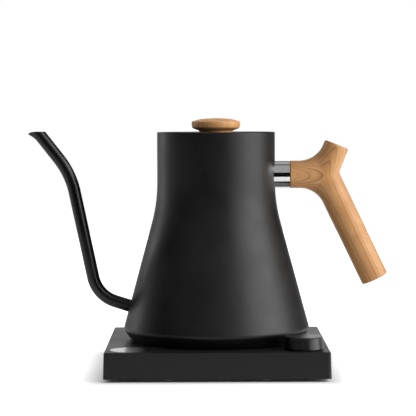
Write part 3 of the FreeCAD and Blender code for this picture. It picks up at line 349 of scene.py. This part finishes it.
woodSettings = {
    "handle": {
        "light": (0.810, 0.455, 0.200, 1), "dark": (0.600, 0.285, 0.103, 1), "line": (0.215, 0.075, 0.021, 1),
        "spacing": 1.2, "wobble": 0.9, "wobbleSize": 30.0, "turn": (0.008, 0.45, 0.14), "shift": (0, 0.3, 0),
        "roughness": 0.42, "fibre": 0.55, "pore": 0.10, "ring": 1.0,
        "cloud": 0.7, "layer": 0.18, "relief": 0.035,
    },
    "knob": {
        "light": (0.980, 0.580, 0.260, 1), "dark": (0.860, 0.420, 0.145, 1), "line": (0.320, 0.110, 0.030, 1),
        "spacing": 2.2, "wobble": 2.0, "wobbleSize": 14.0, "turn": (0.2, 0.1, 1.2), "shift": (0, 0.4, 0),
        "roughness": 0.45, "fibre": 0.60, "pore": 0.8, "ring": 0.6,
        "cloud": 0.7, "layer": 0.18, "relief": 0.035,
    },
}


def oiledWood(name, settings):
    # layers of a board with thin dark ring lines, fibres along the grain and short open pores
    material, tree, shader = startMaterial(name, Specular_IOR_Level=0.42)
    place = objectPlace(tree, turn=settings["turn"], shift=settings["shift"])
    rings = useGroup(tree, growthRings, Place=place, Spacing=settings["spacing"], Wobble=settings["wobble"],
                     Wobble_Size=settings["wobbleSize"])
    fibres = useGroup(tree, woodFibres, Place=place)
    tone = compute(tree, "ADD", compute(tree, "MULTIPLY", fibres["Fibre"], settings["fibre"]),
                   compute(tree, "MULTIPLY", fibres["Cloud"], settings["cloud"]))
    tone = compute(tree, "ADD", tone, compute(tree, "MULTIPLY", rings["Tone"], settings["layer"]))
    body = mixColours(tree, rescale(tree, tone, 0.35, 0.95, 0.0, 1.0), settings["light"], settings["dark"])
    ringShare = compute(tree, "MULTIPLY", rings["Ring"], settings["ring"])
    lined = mixColours(tree, ringShare, body, settings["line"])
    pores = compute(tree, "MULTIPLY", fibres["Pore"], settings["pore"])
    final = mixColours(tree, pores, lined, settings["line"])
    tree.links.new(final, shader.inputs["Base Color"])
    smoothest, roughest = settings["roughness"] - 0.05, settings["roughness"] + 0.07
    tree.links.new(rescale(tree, fibres["Fibre"], 0.3, 0.7, smoothest, roughest), shader.inputs["Roughness"])
    height = compute(tree, "SUBTRACT", compute(tree, "MULTIPLY", fibres["Fibre"], 0.4), pores)
    bumpFrom(tree, height, shader, settings["relief"] * mm)
    return material


# the pale colour is a painted reflection of the lights, strongest at the low-X side of the window and gone to
# black further along X
windowSettings = {
    "colour": (0.006, 0.006, 0.007, 1), "panel": (0.50, 0.50, 0.51, 1), "paleUntil": -74.0, "darkFrom": -55.0,
    "roughness": 0.3, "uneven": 0.1,
}


def displayWindow(name, settings):
    # a smooth black window over the display with a painted reflection: its colour is pale at one side and
    # fades into black across the face, and faint wipe marks change the gloss and wobble the edge of the
    # painted reflection
    material, tree, shader = startMaterial(name, Coat_Weight=0.6, Coat_Roughness=0.12)
    place = objectPlace(tree)
    effect = useGroup(tree, toolMarks, Place=place, Line_Width=0.4, Smear_Size=6.0)
    split = addNode(tree, "ShaderNodeSeparateXYZ")
    tree.links.new(place, split.inputs[0])
    # painted reflection: the pale colour at the low-X side fades into black, its edge moved a little by the
    # smears
    fade = rescale(tree, split.outputs["X"], settings["paleUntil"], settings["darkFrom"], 0.0, 1.0)
    uneven = compute(tree, "MULTIPLY", compute(tree, "SUBTRACT", effect["Smear"], 0.5), settings["uneven"])
    paintedReflectionFade = compute(tree, "ADD", fade, uneven, clamp=True)
    tone = mixColours(tree, paintedReflectionFade, settings["panel"], settings["colour"])
    tree.links.new(tone, shader.inputs["Base Color"])
    gloss = rescale(tree, effect["Smear"], 0, 1, settings["roughness"], settings["roughness"] + 0.05)
    tree.links.new(gloss, shader.inputs["Roughness"])
    return material


spoutBlack = grainedFinish("spoutBlack", (0.0026, 0.0027, 0.0030), 0.30, 0.30, 0.006, specular=0.5)
powderBlack = grainedFinish("powderBlack", (0.0026, 0.0027, 0.0030), 0.45, 0.32, 0.030, specular=0.5)
mouldedBlack = grainedFinish("mouldedBlack", (0.0070, 0.0070, 0.0074), 0.46, 0.45, 0.020, patch=30,
                             specular=0.4)
plateBlack = grainedFinish("plateBlack", (0.0100, 0.0100, 0.0105), 0.6, 0.6, 0.04, patch=18)
dialBlack = grainedFinish("dialBlack", (0.0040, 0.0040, 0.0042), 0.33, 0.30, 0.004, patch=12, specular=0.6)
rubberBlack = grainedFinish("rubberBlack", (0.014, 0.014, 0.014), 0.72, 0.5, 0.05, patch=9, specular=0.3)
siliconeGrey = grainedFinish("siliconeGrey", (0.30, 0.30, 0.30), 0.6, 0.5, 0.03, patch=9, specular=0.4)
boardGreen = grainedFinish("boardGreen", (0.012, 0.110, 0.040), 0.4, 0.5, 0.03, patch=8)
tapeYellow = grainedFinish("tapeYellow", (0.50, 0.34, 0.05), 0.45, 0.5, 0.03, patch=6)
caseBlack = grainedFinish("caseBlack", (0.012, 0.012, 0.014), 0.35, 0.4, 0.02, patch=8)
ceramicCream = grainedFinish("ceramicCream", (0.50, 0.46, 0.38), 0.5, 0.4, 0.03, patch=8)
switchGrey = grainedFinish("switchGrey", (0.22, 0.22, 0.22), 0.5, 0.4, 0.02, patch=8)
polishedSteel = workedMetal("polishedSteel", (0.86, 0.86, 0.87), 0.07, (1000, 60, 60), 0.5, 0.0006, 0.03)
satinSteel = workedMetal("satinSteel", (0.55, 0.55, 0.56), 0.28, (60, 60, 1000), 0.12, 0.003)
turnedBrass = workedMetal("turnedBrass", (0.74, 0.52, 0.22), 0.25, (200, 200, 1000))
castAluminium = workedMetal("castAluminium", (0.62, 0.62, 0.63), 0.42, (1000, 1000, 1000), 0.7, 0.02)
screwSteel = workedMetal("screwSteel", (0.50, 0.50, 0.52), 0.3)
windowBlack = displayWindow("windowBlack", windowSettings)
handleWood = oiledWood("handleWood", woodSettings["handle"])
knobWood = oiledWood("knobWood", woodSettings["knob"])
print("finishes built")

finishes = {
    powderBlack: ["lid_disc"],
    mouldedBlack: ["base_shell", "base_connector", "kettle_connector", "bottom_cover", "hold_switch_body"],
    plateBlack: ["base_plate"],
    caseBlack: ["power_relay", "encoder_body", "display_bezel"],
    rubberBlack: ["base_feet", "cord_gland"],
    siliconeGrey: ["lid_seal", "probe_seal"],
    boardGreen: ["main_board", "display_board", "encoder_board"],
    tapeYellow: ["power_supply"],
    ceramicCream: ["thermal_cutout"],
    switchGrey: ["hold_slider"],
    satinSteel: ["kettle_floor", "lid_skirt", "lid_inner_disc", "temperature_probe"],
    turnedBrass: ["live_ring", "neutral_ring", "earth_pin", "kettle_live_contact", "kettle_neutral_contact",
                  "kettle_earth_contact", "handle_insert", "knob_insert"],
    castAluminium: ["heat_spreader", "heating_element", "filter_capacitor", "encoder_shaft",
                    "encoder_plunger"],
    screwSteel: ["base_screws", "board_screws", "bottom_cover_screws", "element_terminals", "handle_stud",
                 "knob_washer", "knob_screw"],
    windowBlack: ["display_lens", "lcd_module"],
}
for finish, names in finishes.items():
    for name in names:
        nodes[name].data.materials.clear()
        nodes[name].data.materials.append(finish)
print("frame pieces finished")

# kettle shell
bodyLow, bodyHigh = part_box("kettle_body")
kettleLow, rimLevel = bodyLow.z / mm, bodyHigh.z / mm
shellSettings = {
    "neck": 47.2, "neckLength": 56.0, "lean": 15.13, "flare": 127.0, "creaseRise": 10.4, "creaseRound": 5.2,
    "bevelHeight": 5.0, "bevelIn": 3.2, "bevelRound": 15.0, "bevelInsideRound": 6.0, "bevelInsideRise": 0.5,
    "footIn": 4.2, "footRound": 0.35, "rimRound": 0.7, "hemRound": 0.5, "hemStep": 0.4,
    "wall": 0.8, "coneSlope": 1.06, "bevelSlope": 1.1, "footSlope": 1.35, "hem": 1.2, "hemDepth": 3.2,
    "segments": 256,
}


def coneRadius(level):
    # outer radius of the kettle where it is a cone
    s = shellSettings
    return s["neck"] + (rimLevel - s["neckLength"] - level) * math.tan(math.radians(s["lean"]))


def makeShell():
    # a wall turned round the axis: foot, bevel, crease, cone, flare, neck, folded rim, then back down inside
    s = shellSettings
    neckLow = rimLevel - s["neckLength"]
    crease = kettleLow + s["creaseRise"]
    creaseRadius = coneRadius(crease)
    bevelLevel = crease - s["bevelHeight"]
    bevelRadius = creaseRadius - s["bevelIn"]
    footRadius = bevelRadius - s["footIn"]
    neckInside = s["neck"] - s["wall"]
    hemRadius = neckInside - s["hem"]
    hemLevel = rimLevel - s["hemDepth"]
    outside = roundedLine([
        (footRadius - s["wall"], kettleLow), (footRadius, kettleLow, s["footRound"]),
        (bevelRadius, bevelLevel, s["bevelRound"]), (creaseRadius, crease, s["creaseRound"]),
        (s["neck"], neckLow, s["flare"]), (s["neck"], rimLevel, s["rimRound"]),
        (hemRadius, rimLevel, s["hemRound"]), (hemRadius, hemLevel),
    ], arcSteps=16, spacing=6)
    inside = roundedLine([                      # the same corners moved in by the wall, more where it slopes
        (neckInside, hemLevel - s["hemStep"]), (neckInside, neckLow, s["flare"] + s["wall"]),
        (creaseRadius - s["wall"] * s["coneSlope"], crease, s["creaseRound"] - s["wall"]),
        (bevelRadius - s["wall"] * s["bevelSlope"], bevelLevel + s["bevelInsideRise"], s["bevelInsideRound"]),
        (footRadius - s["wall"] * s["footSlope"], kettleLow),
    ], arcSteps=12, spacing=8)
    grid = turnedGrid(np.vstack([outside, inside]), s["segments"])
    shell = pieceFromGrid("kettleShell", grid, powderBlack, "kettle", ["kettle_body"], "body_black",
                          wrapRows=True, wrapColumns=True)
    shell.data.materials.append(satinSteel)
    faces = shell.data.polygons
    centres, normals = np.empty((2, len(faces) * 3), np.float32)
    faces.foreach_get("center", centres)
    faces.foreach_get("normal", normals)
    centres, normals = centres.reshape(-1, 3), normals.reshape(-1, 3)
    inward = np.sum(centres[:, :2] * normals[:, :2], axis=1) < 0
    bare = inward & (centres[:, 2] < hemLevel * mm)     # below the folded rim the inside is bare steel
    faces.foreach_set("material_index", bare.astype(np.int32))
    return shell


makeShell()
print("kettle shell done")

# spout
spoutSettings = {
    "outer": 5.0, "bore": 4.2, "rootAngle": 17.5, "reach": 95.9, "rise": 36.5,
    "riseAngle": 11.9, "riseHeight": 98.1, "mouthAngle": 38.0, "mouthHeight": 33.8,
    "lowerBend": 26, "upperBend": 66, "around": 64,
    "rootStart": 64.0, "rootSink": 0.45, "ringGap": 0.5, "endPart": 14.0, "endSteps": 26,
    "lipReach": 3.0, "lipDrop": 2.0, "lipWidth": 0.62, "lipFrom": 0.62,
}


def makeSpout():
    # rings square to a line of straight runs and arcs; at the root each ring point slides along the root
    # to the cone's wall, and at the mouth along the last run to a level cut that dips into a pouring lip
    s = spoutSettings
    bendLevel = kettleLow + s["rise"]
    upperReach = s["reach"] + s["riseHeight"] * math.tan(math.radians(s["riseAngle"]))
    upperLevel = bendLevel + s["riseHeight"]
    mouthLevel = upperLevel + s["mouthHeight"]
    startLevel = bendLevel - (s["reach"] - s["rootStart"]) * math.tan(math.radians(s["rootAngle"]))
    endReach = upperReach + (s["mouthHeight"] - s["endPart"]) * math.tan(math.radians(s["mouthAngle"]))
    path = roundedLine([
        (-s["rootStart"], startLevel), (-s["reach"], bendLevel, s["lowerBend"]),
        (-upperReach, upperLevel, s["upperBend"]), (-endReach, mouthLevel - s["endPart"]),
    ], arcSteps=28, spacing=3)
    ahead = np.gradient(path, axis=0)
    ahead /= np.linalg.norm(ahead, axis=1)[:, None]
    across = np.stack([-ahead[:, 1], ahead[:, 0]], axis=1)          # in the plane of the path, square to it
    turn = np.linspace(0, 2 * math.pi, s["around"], endpoint=False)

    def wallGrid(radius):
        flat = path[:, None, :] + across[:, None, :] * (radius * np.cos(turn))[None, :, None]
        side = np.broadcast_to(radius * np.sin(turn), flat.shape[:2])
        rings = np.stack([flat[..., 0], side, flat[..., 1]], axis=-1)
        rootWay = np.array([ahead[0, 0], 0, ahead[0, 1]])
        first = rings[0].copy()
        for attempt in range(6):                # each try lands closer to where the root meets the cone
            wallRadius = coneRadius(first[:, 2]) - s["rootSink"]
            miss = np.hypot(first[:, 0], first[:, 1]) - wallRadius
            first = first - rootWay * (miss / abs(ahead[0, 0]))[:, None]
        keep = np.all(rings[:, :, 0] < first[None, :, 0] - s["ringGap"], axis=1)
        rings = np.concatenate([first[None], rings[keep]])
        mouthWay = np.array([ahead[-1, 0], 0, ahead[-1, 1]])
        last = rings[-1]
        front = math.pi if across[-1, 0] > 0 else 0
        lipTurn = np.angle(np.exp(1j * (turn - front)))
        lip = np.exp(-(lipTurn / s["lipWidth"]) ** 2)
        level = mouthLevel - s["lipDrop"] * lip
        length = (level - last[:, 2]) / mouthWay[2]
        share = np.linspace(0, 1, s["endSteps"])[1:, None]
        beak = np.clip((share - s["lipFrom"]) / (1 - s["lipFrom"]), 0, 1) ** 2 * lip[None, :] * s["lipReach"]
        end = last[None] + mouthWay * (share * length[None, :])[..., None]
        end[..., 0] -= beak
        return np.concatenate([rings, end])

    outer = wallGrid(s["outer"])
    inner = wallGrid(s["bore"])
    grid = np.concatenate([outer, inner[::-1]]) * mm
    return pieceFromGrid("spoutTube", grid, spoutBlack, "kettle", ["spout"], "body_black",
                         wrapRows=True, wrapColumns=True, sharpAngle=50)


makeSpout()
print("spout done")

# handle
handleSettings = {
    "half": 11.0, "drop": 34.2, "face": 59.2, "middle": 87.0, "gripAngle": 25.7, "gripLength": 93.3,
    "hornAngle": 22.4, "hornLength": 25.8, "hornHalf": 10.1, "innerRound": 20.5, "upperRound": 21.0,
    "outerRound": 6.0, "endRound": 1.3, "neckEndRound": 0.35, "endSteps": 6, "around": 33, "step": 1.1,
}


def makeHandle():
    # three arms meet in the middle. Each side of the outline is paired with the arms' middle lines: a point
    # of the side, its partner on the middle line and the half thickness make half an ellipse, and these
    # half ellipses side by side are the surface. At the ends of the arms they shrink to a rounded edge.
    s = handleSettings
    level = rimLevel - s["drop"]
    gripWay = np.array([math.sin(math.radians(s["gripAngle"])), -math.cos(math.radians(s["gripAngle"]))])
    hornWay = np.array([math.sin(math.radians(s["hornAngle"])), math.cos(math.radians(s["hornAngle"]))])
    centre = np.array([s["middle"], level])
    arms = {
        "neck": {"way": np.array([-1.0, 0.0]), "length": s["middle"] - s["face"], "half": s["half"],
                 "endRound": s["neckEndRound"]},
        "grip": {"way": gripWay, "length": s["gripLength"], "half": s["half"], "endRound": s["endRound"]},
        "horn": {"way": hornWay, "length": s["hornLength"], "half": s["hornHalf"], "endRound": s["endRound"]},
    }

    def sidePair(first, second, radius):
        # the side that runs in along one arm, round the hollow and out along the next, with its middle line
        a, b = arms[first], arms[second]
        squareA = np.array([a["way"][1], -a["way"][0]])
        squareA *= np.sign(squareA @ b["way"])
        squareB = np.array([b["way"][1], -b["way"][0]])
        squareB *= np.sign(squareB @ a["way"])
        lines = np.array([a["way"], -b["way"]]).T
        reach = np.linalg.solve(lines, squareB * b["half"] - squareA * a["half"])
        corner = centre + squareA * a["half"] + a["way"] * reach[0]
        bend = math.acos(float(np.clip(a["way"] @ b["way"], -1, 1)))
        tangentA = reach[0] + radius / math.tan(bend / 2)
        tangentB = reach[1] + radius / math.tan(bend / 2)
        arc = roundedLine([tuple(corner + a["way"]), (*corner, radius), tuple(corner + b["way"])],
                          arcSteps=64)[1:-1]
        middleRow = len(arc) // 2
        pieces = []
        for arm, square, tangentAt, arcHalf in ((a, squareA, tangentA, arc[:middleRow + 1][::-1]),
                                                 (b, squareB, tangentB, arc[middleRow:])):
            steps = int(arm["length"] / s["step"])
            along = np.linspace(0, arm["length"] - s["endRound"], steps)
            share = np.clip(along / tangentAt, 0, 1) * (len(arcHalf) - 1)
            low = np.floor(share).astype(int)
            high = np.minimum(low + 1, len(arcHalf) - 1)
            onArc = arcHalf[low] + (arcHalf[high] - arcHalf[low]) * (share - low)[:, None]
            straight = centre + square * arm["half"] + arm["way"] * along[:, None]
            side = np.where((along < tangentAt)[:, None], onArc, straight)
            spine = centre + arm["way"] * along[:, None]
            thick = np.full(steps, s["half"])
            turn = np.linspace(0, math.pi / 2, s["endSteps"] + 1)[1:]
            edgeAlong = arm["length"] - arm["endRound"] * (1 - np.sin(turn))
            edgeHalf = arm["half"] - arm["endRound"] * (1 - np.cos(turn))
            flatHalf = (arm["half"] - arm["endRound"]) * np.linspace(1, 0, s["endSteps"] + 1)[1:]
            endAlong = np.concatenate([edgeAlong, np.full(s["endSteps"], arm["length"])])
            endHalf = np.concatenate([edgeHalf, flatHalf])
            endSpine = centre + arm["way"] * endAlong[:, None]
            side = np.vstack([side, endSpine + square * endHalf[:, None]])
            spine = np.vstack([spine, endSpine])
            thick = np.concatenate([thick, endHalf / arm["half"] * s["half"]])
            pieces.append((side, spine, thick))
        (sideA, spineA, thickA), (sideB, spineB, thickB) = pieces
        side = np.vstack([sideA[::-1], sideB[1:]])
        spine = np.vstack([spineA[::-1], spineB[1:]])
        thick = np.concatenate([thickA[::-1], thickB[1:]])
        swing = np.linspace(-math.pi / 2, math.pi / 2, s["around"])
        flat = spine[:, None] + (side - spine)[:, None] * np.cos(swing)[None, :, None]
        depth = thick[:, None] * np.sin(swing)[None, :]
        return np.stack([flat[..., 0], depth, flat[..., 1]], axis=-1)

    grids = [sidePair("neck", "horn", s["upperRound"]), sidePair("horn", "grip", s["outerRound"]),
             sidePair("grip", "neck", s["innerRound"])]
    mesh = bpy.data.meshes.new("handleGrip")
    starts = np.cumsum([0] + [grid.shape[0] * grid.shape[1] for grid in grids])
    quads = [gridQuads(*grid.shape[:2]) + start for grid, start in zip(grids, starts)]
    points = np.vstack([grid.reshape(-1, 3) for grid in grids]) * mm
    mesh.from_pydata(points.tolist(), [], np.vstack(quads).tolist())
    return finishPiece("handleGrip", mesh, handleWood, "kettle", ["handle"], "handle_wood",
                       sharpAngle=None, weld=2e-6)


makeHandle()
print("handle done")

# ferrule
ferruleSettings = {"radius": 11.0, "bore": 5.0, "bevel": 0.35, "segments": 128}


def makeFerrule():
    # a bar turned round the handle's level line; its inner end follows the curve of the neck
    s = ferruleSettings
    h = handleSettings
    level = rimLevel - h["drop"]
    turn = np.linspace(0, 2 * math.pi, s["segments"], endpoint=False)
    profile = roundedLine([(-1, s["radius"]), (h["face"], s["radius"], s["bevel"]), (h["face"], s["bore"]),
                           (-1, s["bore"])], arcSteps=6)
    along = np.repeat(profile[:, :1], s["segments"], axis=1)
    y = profile[:, 1:] * np.sin(turn)
    z = level + profile[:, 1:] * np.cos(turn)
    rootRadius = shellSettings["neck"] - shellSettings["wall"] / 2
    root = np.sqrt(rootRadius ** 2 - y ** 2)
    along = np.where(along < 0, root, along)
    grid = np.stack([along, y, z], axis=-1) * mm
    return pieceFromGrid("steelFerrule", grid, polishedSteel, "kettle", ["ferrule"], "ferrule_steel",
                         wrapRows=True, wrapColumns=True)


makeFerrule()
print("ferrule done")

# lid knob
knobSettings = {
    "radius": 19.6, "foot": 13.4, "footHeight": 1.5, "footLean": 0.1, "side": 3.7, "sideHeight": 1.2,
    "sideLean": 0.5, "shoulder": 2.7, "shoulderIn": 0.3, "crown": 0.55, "crownShare": 0.6, "segments": 160,
    "edges": {"foot": 0.3, "undercut": 0.6, "lower": 2.2, "side": 6.0, "shoulder": 1.2, "crown": 16.0},
}


def makeKnob():
    # a turned wooden button: foot, undercut, upright side, shoulder and a shallow crown
    s = knobSettings
    low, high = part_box("lid_knob")
    bottom, top = low.z / mm, high.z / mm
    edges = s["edges"]
    shoulder = top - s["shoulder"]
    profile = roundedLine([
        (0, bottom), (s["foot"], bottom, edges["foot"]),
        (s["foot"] + s["footLean"], bottom + s["footHeight"], edges["undercut"]),
        (s["radius"] - s["sideLean"], bottom + s["side"], edges["lower"]),
        (s["radius"], shoulder - s["sideHeight"], edges["side"]),
        (s["radius"] - s["shoulderIn"], shoulder, edges["shoulder"]),
        (s["radius"] * s["crownShare"], top - s["crown"], edges["crown"]), (0, top),
    ], arcSteps=10, spacing=1.5)
    grid = turnedGrid(profile, s["segments"])
    return pieceFromGrid("lidKnob", grid, knobWood, "lid", ["lid_knob"], "knob_wood",
                         wrapColumns=True, sharpAngle=60)


makeKnob()
print("knob done")

# dial
dialSettings = {
    "radius": 15.2, "wall": 2.2, "edge": 0.55, "lowEdge": 0.3, "dish": 0.25, "dishRound": 6.0,
    "rim": 1.6, "rimDrop": 0.05, "segments": 160,
}


def makeDial():
    # a turned cap with a rounded upper edge, a very shallow dish in its top and an open underside
    s = dialSettings
    low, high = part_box("dial_knob")
    bottom, top = low.z / mm, high.z / mm
    centre = ((low.x + high.x) / 2 / mm, (low.y + high.y) / 2 / mm)
    inner = s["radius"] - s["wall"]
    profile = roundedLine([
        (0, top - s["dish"]), (s["radius"] - s["rim"], top - s["rimDrop"], s["dishRound"]),
        (s["radius"], top, s["edge"]), (s["radius"], bottom, s["lowEdge"]), (inner, bottom, s["lowEdge"]),
        (inner, top - s["wall"]), (0, top - s["wall"]),
    ], arcSteps=8, spacing=2)
    grid = turnedGrid(profile, s["segments"], centre)
    return pieceFromGrid("dialCap", grid, dialBlack, "dial", ["dial_knob"], "dial_black", wrapColumns=True)


makeDial()
print("dial done")

# studio
studioSettings = {
    # within floorNear of the middle the floor's glow to the camera is the near glow, rising to full by
    # floorFar: a painted contact shadow round the base
    "floorLow": (-4.0, -0.45), "floorHigh": (4.0, 4.0), "floorGlow": 0.35, "paintedShadowGlow": 0.0,
    "floorNear": 0.081, "floorFar": 0.113, "floorColour": (0.86, 0.86, 0.86, 1),
    "boxes": [
        # name, place, aim, size across, size up, radiance
        ("backPanel", (0, 1.7, 0.50), (0, 0, 0.30), 1.4, 1.1, 1.0),
        ("leftBox", (-1.15, 0.80, 0.45), (0, 0, 0.12), 0.5, 1.3, 1.8),
        ("rightBox", (1.30, -0.26, 0.52), (0, 0, 0.12), 0.9, 1.3, 4.1),
        ("keyBox", (0.90, -0.75, 1.05), (0, 0, 0.12), 0.7, 0.7, 2.6),
        ("lowBox", (0.90, -0.80, 0.30), (-0.10, 0, 0.14), 0.45, 0.8, 2.3),
        ("fillBox", (-0.70, -0.65, 1.20), (0, 0, 0.12), 0.6, 0.6, 2.2),
        ("frontTop", (0, -0.95, 1.30), (0, 0, 0.10), 1.0, 2.0, 0.36),
        ("backTop", (0, 0.70, 1.60), (0, 0, 0.10), 1.4, 1.3, 0.40),
    ],
    "surround": 0.005,
}


def makeStudio():
    # floor, soft boxes and a surround that is white to the camera and dark to everything else; to the camera
    # the floor's glow falls away to nothing close round the base, a painted contact shadow
    s = studioSettings
    (left, front), (right, back) = s["floorLow"], s["floorHigh"]
    mesh = bpy.data.meshes.new("floor")
    corners = [(left, front, 0), (right, front, 0), (right, back, 0), (left, back, 0)]
    mesh.from_pydata(corners, [], [(0, 1, 2, 3)])
    material, tree, shader = startMaterial("paleFloor", Roughness=0.9, Specular_IOR_Level=0.1)
    shader.inputs["Base Color"].default_value = s["floorColour"]
    shader.inputs["Emission Color"].default_value = (1, 1, 1, 1)
    split = addNode(tree, "ShaderNodeSeparateXYZ")
    tree.links.new(objectPlace(tree, (1, 1, 1)), split.inputs[0])
    # the glow seen by the camera is smallest close round the base and full further out, a painted contact
    # shadow
    distance = compute(tree, "MAXIMUM", compute(tree, "ABSOLUTE", split.outputs["X"]),
                       compute(tree, "ABSOLUTE", split.outputs["Y"]))
    glowPastPaintedShadow = rescale(tree, distance, s["floorNear"], s["floorFar"], s["paintedShadowGlow"], 1.0)
    path = addNode(tree, "ShaderNodeLightPath")
    tree.links.new(rescale(tree, path.outputs["Is Camera Ray"], 0, 1, s["floorGlow"], glowPastPaintedShadow),
                   shader.inputs["Emission Strength"])
    mesh.materials.append(material)
    floor = bpy.data.objects.new("floor", mesh)
    bpy.context.scene.collection.objects.link(floor)
    for name, place, aim, across, up, radiance in s["boxes"]:
        light = bpy.data.lights.new(name, "AREA")
        light.shape = "RECTANGLE"
        light.size = across
        light.size_y = up
        light.energy = radiance * math.pi * across * up
        lamp = bpy.data.objects.new(name, light)
        lamp.location = place
        lamp.rotation_euler = (Vector(aim) - Vector(place)).to_track_quat("-Z", "Y").to_euler()
        lamp.visible_camera = False
        bpy.context.scene.collection.objects.link(lamp)
    world = bpy.data.worlds.new("studio")
    world.use_nodes = True
    bpy.context.scene.world = world
    tree = world.node_tree
    surround = tree.nodes["Background"]
    surround.inputs["Color"].default_value = (1, 1, 1, 1)
    path = addNode(tree, "ShaderNodeLightPath")
    strength = rescale(tree, path.outputs["Is Camera Ray"], 0, 1, s["surround"], 1.0)
    tree.links.new(strength, surround.inputs["Strength"])
    bpy.context.scene.view_settings.view_transform = "Standard"
    bpy.context.scene.view_settings.look = "None"


makeStudio()

cameraSettings = {
    "place": (-0.0081, -1.4666, 0.2009), "pitch": -2.83, "yaw": 0.06, "roll": 0.2, "lens": 158.3,
    "sensor": 36, "nearest": 0.05,
}


def makeCamera():
    # a camera looking along the depth, turned a little down and to the right, then rolled
    s = cameraSettings
    data = bpy.data.cameras.new("camera")
    data.lens = s["lens"]
    data.sensor_width = s["sensor"]
    data.clip_start = s["nearest"]
    camera = bpy.data.objects.new("camera", data)
    yaw = Matrix.Rotation(math.radians(-s["yaw"]), 4, "Z")
    pitch = Matrix.Rotation(math.radians(90 + s["pitch"]), 4, "X")
    roll = Matrix.Rotation(math.radians(-s["roll"]), 4, "Z")
    camera.matrix_world = Matrix.Translation(s["place"]) @ yaw @ pitch @ roll
    bpy.context.scene.collection.objects.link(camera)
    bpy.context.scene.camera = camera


makeCamera()
print("studio and camera done")

bpy.context.view_layer.update()
